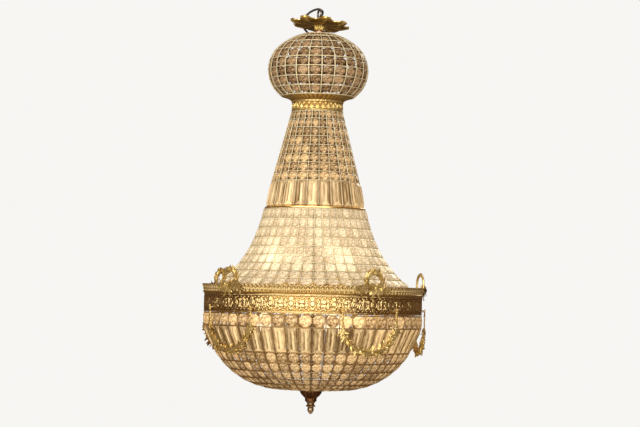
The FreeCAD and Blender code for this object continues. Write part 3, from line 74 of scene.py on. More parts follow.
camera_data = bpy.data.cameras.new("camera")
camera_data.sensor_width = 36.0
camera_data.lens = camera_data.sensor_width * DISTANCE / (PIXELS_WIDE * MM_PER_PIXEL * MM)
camera_data.clip_end = 60.0
camera = bpy.data.objects.new("camera", camera_data)
bpy.context.scene.collection.objects.link(camera)
camera.matrix_world = (
    Matrix.Translation((SIDE_STEP, -DISTANCE, EYE_LEVEL))
    @ Matrix.Rotation(math.pi / 2 + PITCH, 4, "X")
    @ Matrix.Rotation(ROLL, 4, "Z")
)
bpy.context.scene.camera = camera
print("lens", round(camera_data.lens, 1), "mm")

# %% [markdown]
# A node material is built from a few parts again and again: a node, a link, a noise that
# reads the piece's own Object coordinates. Small helpers keep each finish short. Each finish
# is its own function further down.


# %% Helpers for node trees
def add_node(tree, kind, inputs=(), **settings):
    """A node with its settings, and each input either linked or set to a value."""
    node = tree.nodes.new(kind)
    for name, setting in settings.items():
        setattr(node, name, setting)
    for key, given in dict(inputs).items():
        if isinstance(given, bpy.types.NodeSocket):
            tree.links.new(given, node.inputs[key])
        else:
            node.inputs[key].default_value = given
    return node


def new_finish(name):
    """An empty node material and its Principled shader."""
    finish = bpy.data.materials.new(name)
    finish.use_nodes = True
    return finish, finish.node_tree, finish.node_tree.nodes["Principled BSDF"]


def noise(tree, scale, detail=4.0, rough=0.55):
    """Noise on Object coordinates, as a value about one half."""
    place = add_node(tree, "ShaderNodeTexCoord")
    made = add_node(
        tree,
        "ShaderNodeTexNoise",
        {"Vector": place.outputs["Object"], "Scale": scale, "Detail": detail, "Roughness": rough},
    )
    return made.outputs["Fac"]


def ramp(tree, source, *stops):
    """A colour ramp over a value; each stop is (place, colour)."""
    made = add_node(tree, "ShaderNodeValToRGB", {"Fac": source})
    marks = made.color_ramp.elements
    while len(marks) < len(stops):
        marks.new(0.5)
    for mark, (place, colour) in zip(marks, stops):
        mark.position = place
        mark.color = (*colour, 1.0)
    return made.outputs["Color"]


def span(tree, source, low, high, from_low=0.0, from_high=1.0):
    """A value moved from one range to another."""
    made = add_node(
        tree,
        "ShaderNodeMapRange",
        {"Value": source, "From Min": from_low, "From Max": from_high, "To Min": low, "To Max": high},
    )
    return made.outputs["Result"]


def blend_colour(tree, share, first, second):
    """Two colours, or colour outputs, mixed by a share."""
    made = add_node(tree, "ShaderNodeMix", data_type="RGBA")
    for socket, given in ((made.inputs[0], share), (made.inputs[6], first), (made.inputs[7], second)):
        if isinstance(given, bpy.types.NodeSocket):
            tree.links.new(given, socket)
        else:
            socket.default_value = given if isinstance(given, float) else (*given, 1.0)
    return made.outputs[2]


def attribute(tree, name):
    """A value that the mesh carries under a name."""
    return add_node(tree, "ShaderNodeAttribute", attribute_name=name).outputs["Fac"]


def bump(tree, shader, height, strength, distance):
    """Roughens a finish by a height; distance is its depth in metres."""
    made = add_node(
        tree, "ShaderNodeBump", {"Height": height, "Strength": strength, "Distance": distance}
    )
    tree.links.new(made.outputs["Normal"], shader.inputs["Normal"])


# %% [markdown]
# The studio is a white surround over a pale floor, and that is what the lens sees, straight on
# or through glass. Polished metal mirrors a warm brown room instead, as gilt brass does in an
# old house. A broad soft light stands behind the lens: cast brass mirrors it in the middle of
# the ring and goes brown towards the sides, as in the photo.


# %% Studio
def seen_directly(tree):
    """One where a ray comes from the lens or through glass."""
    path = add_node(tree, "ShaderNodeLightPath")
    return add_node(
        tree,
        "ShaderNodeMath",
        {0: path.outputs["Is Camera Ray"], 1: path.outputs["Is Transmission Ray"]},
        operation="MAXIMUM",
    ).outputs[0]


SURROUND = (0.93, 0.92, 0.9)
ROOM = (0.15, 0.088, 0.052)
world = bpy.data.worlds.new("studio")
bpy.context.scene.world = world
world.use_nodes = True
tree = world.node_tree
tree.links.new(
    blend_colour(tree, seen_directly(tree), ROOM, SURROUND), tree.nodes["Background"].inputs["Color"]
)

FLOOR_LEVEL = -2.1
FLOOR_SIZE = 24.0
FLOOR_WHITE = 0.95
floor_mesh = bpy.data.meshes.new("floor")
half = FLOOR_SIZE / 2
floor_corners = [(x * half, y * half, FLOOR_LEVEL) for x, y in ((-1, -1), (1, -1), (1, 1), (-1, 1))]
floor_mesh.from_pydata(floor_corners, [], [(0, 1, 2, 3)])
floor = bpy.data.objects.new("floor", floor_mesh)
bpy.context.scene.collection.objects.link(floor)
floor_finish, tree, shader = new_finish("pale_floor")
shader.inputs["Base Color"].default_value = (0.5, 0.45, 0.4, 1.0)
shader.inputs["Roughness"].default_value = 0.9
glow = add_node(tree, "ShaderNodeEmission", {"Color": (*SURROUND, 1.0), "Strength": 1.0})
share = span(tree, seen_directly(tree), 0.0, FLOOR_WHITE)
mixed = add_node(tree, "ShaderNodeMixShader", {0: share, 1: shader.outputs[0], 2: glow.outputs[0]})
tree.links.new(mixed.outputs[0], tree.nodes["Material Output"].inputs["Surface"])
floor_mesh.materials.append(floor_finish)

# Each light: place, width, height and power in watts.
LIGHTS = {
    "wall": ((-0.7, -4.7, 0.45), 9.0, 3.5, 290.0),
    "key": ((-0.8, -2.9, 1.3), 1.4, 1.4, 20.0),
    "back": ((0.6, 2.2, 0.7), 1.4, 1.4, 18.0),
}
AIM = Vector((0, 0, -0.5))
LAMP_WHITE = (1.0, 0.94, 0.84)
for name, (place, wide, tall, power) in LIGHTS.items():
    light = bpy.data.lights.new(name, "AREA")
    light.shape = "RECTANGLE"
    light.size = wide
    light.size_y = tall
    light.energy = power
    light.color = LAMP_WHITE
    holder = bpy.data.objects.new(name, light)
    holder.location = place
    holder.rotation_euler = (AIM - Vector(place)).to_track_quat("-Z", "Y").to_euler()
    holder.visible_camera = False
    bpy.context.scene.collection.objects.link(holder)
print("studio with", len(LIGHTS), "lights")

# %% [markdown]
# Old gilt brass is bright where it has been rubbed and brown in its hollows. The castings
# carry a value called relief, 0 in a hollow and 1 on top, and the finish reads it. The brown of
# the low relief is patina and also painted shade, where shade falls in the recesses. Wire and
# tube have no hollows, so for them the same finish is used without it.


# %% Metal finishes
WEAR_GRAIN = 260.0
POLISH_GRAIN = 900.0
DENT_GRAIN = 420.0


def metal_finish(name, bright, dull, rough, hollow=None, grain=70.0, dent=0.15, metal=1.0):
    """Bright and dull colours in soft patches; hollow is the colour of the low relief, patina and painted
    shade.
    """
    finish, tree, shader = new_finish(name)
    cloud = noise(tree, grain)
    colour = ramp(tree, cloud, (0.35, dull), (0.65, bright))
    if hollow:
        # The low relief takes the hollow colour: patina, and painted shade in the recesses.
        patina_and_painted_shade = add_node(
            tree,
            "ShaderNodeMath",
            {0: attribute(tree, "relief"), 1: span(tree, noise(tree, WEAR_GRAIN), -0.25, 0.25)},
            operation="ADD",
        ).outputs[0]
        share = ramp(tree, patina_and_painted_shade, (0.12, (0, 0, 0)), (0.75, (1, 1, 1)))
        colour = blend_colour(tree, share, hollow, colour)
    tree.links.new(colour, shader.inputs["Base Color"])
    fine = noise(tree, POLISH_GRAIN, 3.0)
    tree.links.new(span(tree, fine, rough - 0.1, rough + 0.14), shader.inputs["Roughness"])
    shader.inputs["Metallic"].default_value = metal
    bump(tree, shader, noise(tree, DENT_GRAIN, 5.0), dent, 0.6 * MM)
    return finish


ring_brass = metal_finish("ring_brass", (0.93, 0.75, 0.39), (0.83, 0.63, 0.28), 0.28, (0.42, 0.26, 0.09))
cornice_brass = metal_finish(
    "cornice_brass", (1.0, 0.84, 0.46), (0.92, 0.73, 0.34), 0.42, (0.48, 0.31, 0.11)
)
leaf_brass = metal_finish(
    "leaf_brass", (1.0, 0.83, 0.38), (0.84, 0.6, 0.19), 0.3, (0.3, 0.17, 0.05), metal=0.75
)
bright_brass = metal_finish("bright_brass", (0.9, 0.68, 0.3), (0.9, 0.64, 0.27), 0.24)
pale_wire = metal_finish("pale_wire", (0.9, 0.8, 0.54), (0.8, 0.69, 0.43), 0.55, metal=0.3)
brown_wire = metal_finish("brown_wire", (0.62, 0.44, 0.2), (0.4, 0.26, 0.11), 0.4)
gold_wire = metal_finish("gold_wire", (0.94, 0.87, 0.6), (0.8, 0.72, 0.45), 0.5, metal=0.4)
dark_brass = metal_finish("dark_brass", (0.36, 0.22, 0.09), (0.16, 0.09, 0.04), 0.36, grain=120.0)
copper = metal_finish("copper", (0.86, 0.5, 0.36), (0.7, 0.38, 0.25), 0.28)
steel = metal_finish("steel", (0.5, 0.48, 0.45), (0.3, 0.29, 0.27), 0.28, grain=200.0)
dull_steel = metal_finish("dull_steel", (0.5, 0.47, 0.41), (0.36, 0.33, 0.28), 0.42)
print("brass:", ring_brass.name, cornice_brass.name, leaf_brass.name, bright_brass.name)

# %% [markdown]
# Cut glass glitters because each facet sends back another part of the room. Every facet here
# has its own value, called cut, that paints it paler or darker, as painted glints and painted
# reflections of the room, so the cut still reads at a distance. All the glass has a painted
# glow, standing for the light of the bulbs inside: each finish glows by its height, and the
# octagons of tent and basket glow more where a lamp stands right behind them.

# %% Glass, plastic and rubber
LAMP_GLOW = (1.0, 0.86, 0.6)
AMBER_GLOW = (1.0, 0.66, 0.3)
GLASS_TINT = (1.0, 0.8, 0.54)
UPPER_LAMPS = 6
LOWER_LAMPS = 3
LAMP_TURN = 23.0
hub_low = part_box("lamp_hub")[0]
UPPER_LIGHT = hub_low.z + 99.0 * MM
LOWER_LIGHT = hub_low.z - 63.0 * MM
LIGHT_SPREAD = 48.0 * MM


def near_lamps(tree, lamps, level):
    """A mask for painted glow: one on the part of a cage that stands right in front of a lamp, none between
    lamps.
    """
    place = add_node(tree, "ShaderNodeTexCoord").outputs["Object"]
    x, y, z = add_node(tree, "ShaderNodeSeparateXYZ", {0: place}).outputs

    def maths(operation, first, second=0.0):
        return add_node(tree, "ShaderNodeMath", {0: first, 1: second}, operation=operation).outputs[0]

    around = maths("ARCTAN2", x, maths("MULTIPLY", y, -1.0))
    from_lamp = maths("SUBTRACT", around, math.radians(LAMP_TURN))
    wave = maths("COSINE", maths("MULTIPLY", from_lamp, float(lamps)))
    across = maths("POWER", maths("MAXIMUM", wave, 0.0), 10.0 / lamps)
    away = maths("ABSOLUTE", maths("SUBTRACT", z, level))
    upright = add_node(
        tree,
        "ShaderNodeMapRange",
        {"Value": away, "From Min": 0.0, "From Max": LIGHT_SPREAD, "To Min": 1.0, "To Max": 0.0},
        interpolation_type="SMOOTHSTEP",
    ).outputs["Result"]
    return maths("MULTIPLY", across, upright)


def crystal_finish(
    name,
    dark,
    pale,
    clear,
    glow,
    lamp=AMBER_GLOW,
    least=0.1,
    haze=0.02,
    streaks=0.0,
    differ=0.26,
    lamps=None,
):
    """glow lists the painted glow as (height in metres, strength), from the bottom of the object up.

    streaks is how strongly painted upright streaks, standing for the reflections that long
    prisms show, lighten and darken it, and differ how much one crystal differs from the next.
    lamps is (count, height, strength) of more painted glow in front of each lamp."""
    finish, tree, shader = new_finish(name)
    own = span(tree, attribute(tree, "shade"), -differ, differ)
    if streaks:
        place = add_node(tree, "ShaderNodeTexCoord").outputs["Object"]
        long = add_node(tree, "ShaderNodeMapping", {"Vector": place, "Scale": (210.0, 210.0, 9.0)})
        grain = add_node(
            tree, "ShaderNodeTexNoise", {"Vector": long.outputs[0], "Scale": 1.0, "Detail": 3.0}
        )
        streak = span(tree, grain.outputs["Fac"], -streaks, streaks, 0.3, 0.7)
        own = add_node(tree, "ShaderNodeMath", {0: own, 1: streak}, operation="ADD").outputs[0]
    # The painted light of each face: its cut value, painted glints and reflections, with a random step for
    # each crystal and the painted streaks.
    facet = add_node(
        tree, "ShaderNodeMath", {0: attribute(tree, "cut"), 1: own}, operation="ADD", use_clamp=True
    ).outputs[0]
    middle = tuple((low + high) / 2.4 for low, high in zip(dark, pale))
    tree.links.new(
        ramp(tree, facet, (0.08, dark), (0.5, middle), (0.92, pale)), shader.inputs["Base Color"]
    )
    shader.inputs["Transmission Weight"].default_value = clear
    shader.inputs["IOR"].default_value = 1.54
    shader.inputs["Specular Tint"].default_value = (*GLASS_TINT, 1.0)
    tree.links.new(span(tree, noise(tree, 500.0), haze, haze + 0.1), shader.inputs["Roughness"])
    # Painted glow: the glass emits light by its height, more on paler facets and, with lamps, in front of
    # each lamp.
    place = add_node(tree, "ShaderNodeTexCoord")
    height = add_node(tree, "ShaderNodeSeparateXYZ", {0: place.outputs["Object"]}).outputs["Z"]
    low, high = glow[0][0], glow[-1][0]
    share = span(tree, height, 0.0, 1.0, low, high)
    strengths = [((level - low) / (high - low), (strength,) * 3) for level, strength in glow]
    lit = ramp(tree, share, *strengths)
    facet_glow = span(tree, facet, least, 1.0)
    if lamps:
        count, level, extra = lamps
        hot = {0: near_lamps(tree, count, level), 1: extra, 2: lit}
        lit = add_node(tree, "ShaderNodeMath", hot, operation="MULTIPLY_ADD").outputs[0]
    strength = add_node(tree, "ShaderNodeMath", {0: lit, 1: facet_glow}, operation="MULTIPLY")
    tree.links.new(strength.outputs[0], shader.inputs["Emission Strength"])
    shader.inputs["Emission Color"].default_value = (*lamp, 1.0)
    return finish


# The same glass is painted dark in the ball and cone and pale in the tent and basket, as shaded and lit
# copies of it. Each list is its painted glow by height.
BALL_GLOW = [(-0.45, 0.5), (-0.4, 0.44), (-0.24, 0.14), (0.0, 0.03)]
TENT_GLOW = [(-0.63, 0.34), (-0.57, 0.46), (-0.5, 0.46), (-0.44, 0.38)]
BASKET_GLOW = [(-0.87, 0.12), (-0.78, 0.32), (-0.72, 0.46), (-0.67, 0.4)]
ball_crystal = crystal_finish("ball_crystal", (0.09, 0.04, 0.012), (0.6, 0.41, 0.24), 0.1, BALL_GLOW)
cone_crystal = crystal_finish("cone_crystal", (0.14, 0.07, 0.02), (0.93, 0.68, 0.38), 0.15, BALL_GLOW)
tent_crystal = crystal_finish(
    "tent_crystal",
    (0.42, 0.26, 0.1),
    (1.0, 0.92, 0.7),
    0.5,
    TENT_GLOW,
    LAMP_GLOW,
    least=0.42,
    haze=0.12,
    differ=0.16,
    lamps=(UPPER_LAMPS, UPPER_LIGHT - 12 * MM, 0.5),
)
basket_crystal = crystal_finish(
    "basket_crystal",
    (0.24, 0.12, 0.03),
    (1.0, 0.8, 0.48),
    0.35,
    BASKET_GLOW,
    least=0.2,
    haze=0.06,
    lamps=(LOWER_LAMPS, LOWER_LIGHT + 20 * MM, 0.4),
)
prism_glass = crystal_finish(
    "prism_glass", (0.16, 0.08, 0.02), (1.0, 0.84, 0.52), 0.3, BASKET_GLOW, least=0.14, streaks=0.22
)
cone_glass = crystal_finish(
    "cone_glass", (0.2, 0.1, 0.03), (1.0, 0.86, 0.56), 0.3, BALL_GLOW, least=0.16, streaks=0.22
)
print("glass", [finish.name for finish in (ball_crystal, cone_crystal, tent_crystal, basket_crystal)])


def plain_finish(name, colour, rough, speckle=0.06):
    """A plastic or rubber, a little darker in soft patches."""
    finish, tree, shader = new_finish(name)
    darker = tuple(c * (1.0 - speckle * 2) for c in colour)
    tree.links.new(ramp(tree, noise(tree, 90.0), (0.3, darker), (0.7, colour)), shader.inputs["Base Color"])
    tree.links.new(span(tree, noise(tree, 700.0), rough - 0.08, rough + 0.08), shader.inputs["Roughness"])
    bump(tree, shader, noise(tree, 600.0), 0.08, 0.0004)
    return finish


black_rubber = plain_finish("black_rubber", (0.02, 0.02, 0.024), 0.35, 0.2)
black_plastic = plain_finish("black_plastic", (0.03, 0.03, 0.03), 0.45, 0.2)
cream_plastic = plain_finish("cream_plastic", (0.88, 0.84, 0.72), 0.4)
white_plastic = plain_finish("white_plastic", (0.86, 0.86, 0.83), 0.35)

bulb_glass, tree, shader = new_finish("lit_bulb")
shader.inputs["Base Color"].default_value = (1.0, 0.95, 0.85, 1.0)
shader.inputs["Roughness"].default_value = 0.3
shader.inputs["Emission Color"].default_value = (1.0, 0.82, 0.55, 1.0)
tree.links.new(span(tree, noise(tree, 30.0), 0.95, 1.15), shader.inputs["Emission Strength"])

# %% [markdown]
# Most pieces here are skins: a row of sections, each a ring of points, joined by faces and
# closed at both ends. A leaf, a prism, a wire and a turned moulding are all the same thing
# with other sections, so one small class makes them and keeps a value for each point.


# %% Building shapes from sections
class Shape:
    """Points and faces, with a relief value for each point and a cut value for each face; on glass the cut
    value is painted light.
    """

    def __init__(self):
        self.points = []
        self.faces = []
        self.relief = []
        self.painted_facet_light = []

    def face(self, corners, cut=0.5):
        corners = list(dict.fromkeys(corners))
        if len(corners) > 2:
            self.faces.append(corners)
            self.painted_facet_light.append(cut)

    def skin(self, sections, relief=1.0, loop=False, cut=None):
        """Joins sections, lists of points, by faces. Without loop, both ends are closed."""
        rows = []
        for number, section in enumerate(sections):
            first = len(self.points)
            self.points += [Vector(point) for point in section]
            values = relief(number) if callable(relief) else relief
            self.relief += list(values) if hasattr(values, "__len__") else [values] * len(section)
            rows.append(list(range(first, len(self.points))))
        pairs = list(zip(rows, rows[1:] + rows[:1]))
        if not loop:
            pairs = pairs[:-1]
        for level, (lower, upper) in enumerate(pairs):
            for k in range(max(len(lower), len(upper))):
                corners = [
                    lower[k % len(lower)],
                    lower[(k + 1) % len(lower)],
                    upper[(k + 1) % len(upper)],
                    upper[k % len(upper)],
                ]
                self.face(corners, cut(level, k) if cut else 0.5)
        if not loop:
            self.face(rows[0][::-1], cut(-1, 0) if cut else 0.5)
            self.face(rows[-1], cut(len(rows), 0) if cut else 0.5)
        return self

    def add(self, other, place=Matrix.Identity(4)):
        """Adds another shape to this one, moved by a matrix."""
        first = len(self.points)
        self.points += [place @ point for point in other.points]
        self.faces += [[first + corner for corner in face] for face in other.faces]
        self.relief += other.relief
        self.painted_facet_light += other.painted_facet_light
        return self

    def moved(self, place):
        """A copy of the shape, moved by a matrix."""
        return Shape().add(self, place)

    def mesh(self, name, finish=None, sharp=40.0):
        """The shape as a mesh with outward faces; sharp is the angle kept as an edge."""
        made = bpy.data.meshes.new(name)
        made.from_pydata(self.points, [], self.faces)
        values = made.attributes.new("relief", "FLOAT", "POINT")
        values.data.foreach_set("value", self.relief)
        values = made.attributes.new("cut", "FLOAT", "FACE")
        values.data.foreach_set("value", self.painted_facet_light)
        work = bmesh.new()
        work.from_mesh(made)
        bmesh.ops.recalc_face_normals(work, faces=work.faces)
        work.to_mesh(made)
        work.free()
        if sharp:
            made.shade_smooth()
            made.set_sharp_from_angle(angle=math.radians(sharp))
        if finish:
            made.materials.append(finish)
        return made


def show(mesh, replaced, body="chandelier"):
    """Puts a finished mesh in the scene, in place of a solid, as a piece that rides on a body."""
    piece = bpy.data.objects.new(mesh.name, mesh)
    bpy.context.scene.collection.objects.link(piece)
    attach(piece, body)
    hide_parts(replaced)
    print(piece.name, len(mesh.polygons), "faces")


def template(name, mesh):
    """A mesh that a node tree copies; it isn't shown itself."""
    holder = bpy.data.objects.new(name, mesh)
    return holder


def in_mm(points, radius=0.0, height=0.0):
    """An outline given in millimetres, measured from a radius and a height in metres."""
    return [(radius + out * MM, height + rise * MM) for out, rise in points]


def circle(radius, sides):
    """Evenly spaced points on a circle, as pairs."""
    turns = [2 * math.pi * k / sides for k in range(sides)]
    return [(radius * math.cos(turn), radius * math.sin(turn)) for turn in turns]


def lathe(outline, steps=180, warp=None, relief=None):
    """A closed outline of (radius, height) turned about the upright axis.

    warp moves a point given its radius, height, angle and place in the outline."""
    sections = []
    values = []
    for step in range(steps):
        angle = 2 * math.pi * step / steps
        ring = []
        row = []
        for place, (radius, height) in enumerate(outline):
            depth = relief[place] if relief else 1.0
            if warp:
                radius, height, depth = warp(radius, height, angle, place, depth)
            ring.append((radius * math.sin(angle), -radius * math.cos(angle), height))
            row.append(depth)
        sections.append(ring)
        values.append(row)
    return Shape().skin(sections, relief=lambda number: values[number], loop=True)


def tube(path, radius, sides=8, flat=1.0, relief=1.0, up=UP):
    """A bar along a list of points; radius may be a list, and flat thins it along up."""
    path = [Vector(point) for point in path]
    radii = radius if isinstance(radius, list) else [radius] * len(path)
    sections = []
    for number, point in enumerate(path):
        before = path[max(number - 1, 0)]
        after = path[min(number + 1, len(path) - 1)]
        along = (after - before).normalized()
        side = along.cross(up)
        side = side.normalized() if side.length > 1e-6 else ACROSS
        rise = side.cross(along).normalized()
        ring = []
        for k in range(sides):
            turn = 2 * math.pi * k / sides
            ring.append(
                point + radii[number] * (side * math.cos(turn) + rise * (math.sin(turn) * flat))
            )
        sections.append(ring)
    return Shape().skin(sections, relief=relief)


# %% [markdown]
# The outline of each cage is a chain of straight runs and arcs, measured along its length as
# a wire would be. The slope is the angle from straight down, plus where it spreads outwards.


# %% The cages' outline
class Outline:
    """The side line of a cage, from its top down."""

    def __init__(self, radius, height):
        self.runs = []
        self.radius = radius
        self.height = height
        self.length = 0.0

    def add(self, length, slope, end_slope=None):
        end_slope = slope if end_slope is None else end_slope
        run = (self.length, length, self.radius, self.height, math.radians(slope), math.radians(end_slope))
        self.runs.append(run)
        self.radius, self.height = self.along(run, length)[:2]
        self.length += length
        return self

    @staticmethod
    def along(run, distance):
        start, length, radius, height, slope, end_slope = run
        bend = (end_slope - slope) / length
        if abs(bend) < 1e-9:
            return radius + distance * math.sin(slope), height - distance * math.cos(slope), slope
        now = slope + bend * distance
        across = (math.cos(slope) - math.cos(now)) / bend
        down = (math.sin(now) - math.sin(slope)) / bend
        return radius + across, height - down, now

    def at(self, distance):
        """Radius, height and slope at a distance along the outline."""
        for run in self.runs:
            if distance <= run[0] + run[1] + 1e-9:
                return self.along(run, distance - run[0])
        raise ValueError("the outline ends before that distance")

    def distance_at(self, height):
        low, high = 0.0, self.length
        for step in range(50):
            middle = (low + high) / 2
            if self.at(middle)[1] > height:
                low = middle
            else:
                high = middle
        return low

    def points(self, first, last, pitch, inwards=0.0):
        """Points in the front half plane, evenly spaced, moved inwards if asked."""
        count = max(2, round((last - first) / pitch) + 1)
        found = []
        for number in range(count):
            radius, height, slope = self.at(first + (last - first) * number / (count - 1))
            found.append(
                Vector((0, -(radius - inwards * math.cos(slope)), height - inwards * math.sin(slope)))
            )
        return found


def evenly(first, last, count):
    """Places from first to last that leave count equal gaps."""
    return [first + (last - first) * number / count for number in range(count + 1)]


# %% [markdown]
# Four node trees do all the repeating. The first sets crystals: it takes one point for each
# row, copies it once for each column, turns the copies round the axis, and puts a crystal on
# each, leaning with the outline. Each crystal is turned by a degree or two at random, because
# crystals on wires never sit quite true, and that is what makes the glass sparkle.


# %% Node trees that repeat
class Tree:
    """A geometry node tree with named inputs and short ways to add nodes."""

    def __init__(self, name, inputs):
        self.tree = bpy.data.node_groups.new(name, "GeometryNodeTree")
        self.tree.interface.new_socket("Geometry", in_out="INPUT", socket_type="NodeSocketGeometry")
        self.identifiers = {}
        for label, kind in inputs.items():
            socket = self.tree.interface.new_socket(
                label, in_out="INPUT", socket_type="NodeSocket" + kind
            )
            self.identifiers[label] = socket.identifier
        self.tree.interface.new_socket("Geometry", in_out="OUTPUT", socket_type="NodeSocketGeometry")
        self.start = self.tree.nodes.new("NodeGroupInput").outputs
        self.end = self.tree.nodes.new("NodeGroupOutput").inputs

    def node(self, kind, inputs=(), **settings):
        return add_node(self.tree, kind, inputs, **settings).outputs

    def maths(self, operation, first, second):
        return self.node("ShaderNodeMath", {0: first, 1: second}, operation=operation)[0]

    def keep(self, geometry, name, value, kind="FLOAT", domain="POINT"):
        """The geometry with a value kept on it under a name."""
        return self.node(
            "GeometryNodeStoreNamedAttribute",
            {"Geometry": geometry, "Name": name, "Value": value},
            data_type=kind,
            domain=domain,
        )[0]

    def kept(self, name, kind="FLOAT"):
        return self.node("GeometryNodeInputNamedAttribute", {"Name": name}, data_type=kind)[0]

    def object_shape(self, label):
        return self.node("GeometryNodeObjectInfo", {"Object": self.start[label]})["Geometry"]

    def finish(self, geometry):
        """Makes the copies real and gives them their finish."""
        real = self.node("GeometryNodeRealizeInstances", {"Geometry": geometry})[0]
        done = self.node("GeometryNodeSetMaterial", {"Geometry": real, "Material": self.start["Finish"]})
        self.tree.links.new(done[0], self.end[0])

    def grow(self, name, base, **settings):
        """The tree's result on a base mesh, as a plain mesh."""
        worker = bpy.data.objects.new(name, base)
        bpy.context.scene.collection.objects.link(worker)
        modifier = worker.modifiers.new("grow", "NODES")
        modifier.node_group = self.tree
        for label, given in settings.items():
            modifier[self.identifiers[label]] = given
        bpy.context.view_layer.update()
        graph = bpy.context.evaluated_depsgraph_get()
        made = bpy.data.meshes.new_from_object(worker.evaluated_get(graph))
        worker.modifiers.remove(modifier)
        bpy.data.objects.remove(worker)
        made.name = name
        return made


def turn_of_copy(tree, copy, count):
    """The angle of a copy round the axis, with the first turn added."""
    step = tree.maths("DIVIDE", 2 * math.pi, count)
    return tree.maths("ADD", tree.maths("MULTIPLY", copy, step), tree.start["Turn"])


def spin(tree, vector, angle):
    """A place turned round the upright axis."""
    return tree.node(
        "ShaderNodeVectorRotate", {"Vector": vector, "Angle": angle}, rotation_type="Z_AXIS"
    )[0]


def set_crystals_tree():
    inputs = {"Crystal": "Object", "Turn": "Float", "Wobble": "Float", "Seed": "Int"}
    tree = Tree("set_crystals", {**inputs, "Finish": "Material"})
    points = tree.node("GeometryNodeMeshToPoints", {"Mesh": tree.start["Geometry"]})[0]
    columns = tree.kept("columns", "INT")
    copies = tree.node(
        "GeometryNodeDuplicateElements", {"Geometry": points, "Amount": columns}, domain="POINT"
    )
    step = tree.maths("DIVIDE", 2 * math.pi, columns)
    middle = tree.maths("ADD", copies["Duplicate Index"], 0.5)
    angle = tree.maths("ADD", tree.maths("MULTIPLY", middle, step), tree.start["Turn"])
    numbered = tree.keep(copies["Geometry"], "angle", angle)
    place = tree.node("GeometryNodeInputPosition")[0]
    moved = tree.node(
        "GeometryNodeSetPosition",
        {"Geometry": numbered, "Position": spin(tree, place, tree.kept("angle"))},
    )[0]
    tilt = tree.maths("MULTIPLY", tree.kept("slope"), -1.0)
    lean = tree.node("ShaderNodeCombineXYZ", {"X": tilt, "Z": tree.kept("angle")})[0]
    back = tree.maths("MULTIPLY", tree.start["Wobble"], -1.0)
    low = tree.node("ShaderNodeCombineXYZ", {axis: back for axis in "XYZ"})[0]
    high = tree.node("ShaderNodeCombineXYZ", {axis: tree.start["Wobble"] for axis in "XYZ"})[0]
    loose = tree.node(
        "FunctionNodeRandomValue", {0: low, 1: high, "Seed": tree.start["Seed"]}, data_type="FLOAT_VECTOR"
    )[0]
    rotation = tree.node(
        "FunctionNodeRotateRotation",
        {
            "Rotation": tree.node("FunctionNodeEulerToRotation", {0: lean})[0],
            "Rotate By": tree.node("FunctionNodeEulerToRotation", {0: loose})[0],
        },
        rotation_space="LOCAL",
    )[0]
    set_out = tree.node(
        "GeometryNodeInstanceOnPoints",
        {
            "Points": moved,
            "Instance": tree.object_shape("Crystal"),
            "Rotation": rotation,
            "Scale": tree.kept("size", "FLOAT_VECTOR"),
        },
    )[0]
    shade = tree.node("FunctionNodeRandomValue", {"Seed": tree.start["Seed"]}, data_type="FLOAT")[1]
    tree.finish(tree.keep(set_out, "shade", shade, domain="INSTANCE"))
    return tree


set_crystals = set_crystals_tree()

# %% [markdown]
# The second tree carries one shape round the axis a number of times. The upright wires and
# the bulbs go round in this way.


# %% Round the axis
def round_axis_tree():
    tree = Tree("round_axis", {"Motif": "Object", "Count": "Int", "Turn": "Float", "Finish": "Material"})
    points = tree.node("GeometryNodePoints", {"Count": tree.start["Count"]})[0]
    index = tree.node("GeometryNodeInputIndex")[0]
    angle = turn_of_copy(tree, index, tree.start["Count"])
    rotation = tree.node("ShaderNodeCombineXYZ", {"Z": angle})[0]
    tree.finish(
        tree.node(
            "GeometryNodeInstanceOnPoints",
            {"Points": points, "Instance": tree.object_shape("Motif"), "Rotation": rotation},
        )[0]
    )
    return tree


round_axis = round_axis_tree()
NO_BASE = bpy.data.meshes.new("no_base")


def carried_round(name, shape, count, finish, turn=0.0, sharp=40.0):
    """A shape made at the front and copied round the axis, as one mesh."""
    motif = template(name + "_motif", shape.mesh(name + "_motif", None, sharp))
    return round_axis.grow(name, NO_BASE, Motif=motif, Count=count, Turn=math.radians(turn), Finish=finish)


# %% [markdown]
# The third tree bends hoops: each row's point becomes a ring of points, each ring a closed
# curve, and each curve a wire. The fourth sets a shape along a path, such as leaves along a
# wreath or beads along a stem, each turned round the path by a fixed step and a random one.


# %% Hoops and garlands
def hoops_tree():
    tree = Tree("level_hoops", {"Wire": "Float", "Steps": "Int", "Finish": "Material"})
    points = tree.node("GeometryNodeMeshToPoints", {"Mesh": tree.start["Geometry"]})[0]
    row = tree.node("GeometryNodeInputIndex")[0]
    numbered = tree.keep(points, "row", row, "INT")
    copies = tree.node(
        "GeometryNodeDuplicateElements",
        {"Geometry": numbered, "Amount": tree.start["Steps"]},
        domain="POINT",
    )
    step = tree.maths("DIVIDE", 2 * math.pi, tree.start["Steps"])
    angle = tree.maths("MULTIPLY", copies["Duplicate Index"], step)
    place = tree.node("GeometryNodeInputPosition")[0]
    moved = tree.node(
        "GeometryNodeSetPosition", {"Geometry": copies["Geometry"], "Position": spin(tree, place, angle)}
    )[0]
    group = tree.kept("row", "INT")
    curves = tree.node("GeometryNodePointsToCurves", {"Points": moved, "Curve Group ID": group})[0]
    closed = tree.node("GeometryNodeSetSplineCyclic", {"Geometry": curves, "Cyclic": True})[0]
    section = tree.node(
        "GeometryNodeCurvePrimitiveCircle", {"Resolution": 6, "Radius": tree.start["Wire"]}
    )[0]
    wires = tree.node("GeometryNodeCurveToMesh", {"Curve": closed, "Profile Curve": section})[0]
    tree.finish(wires)
    return tree


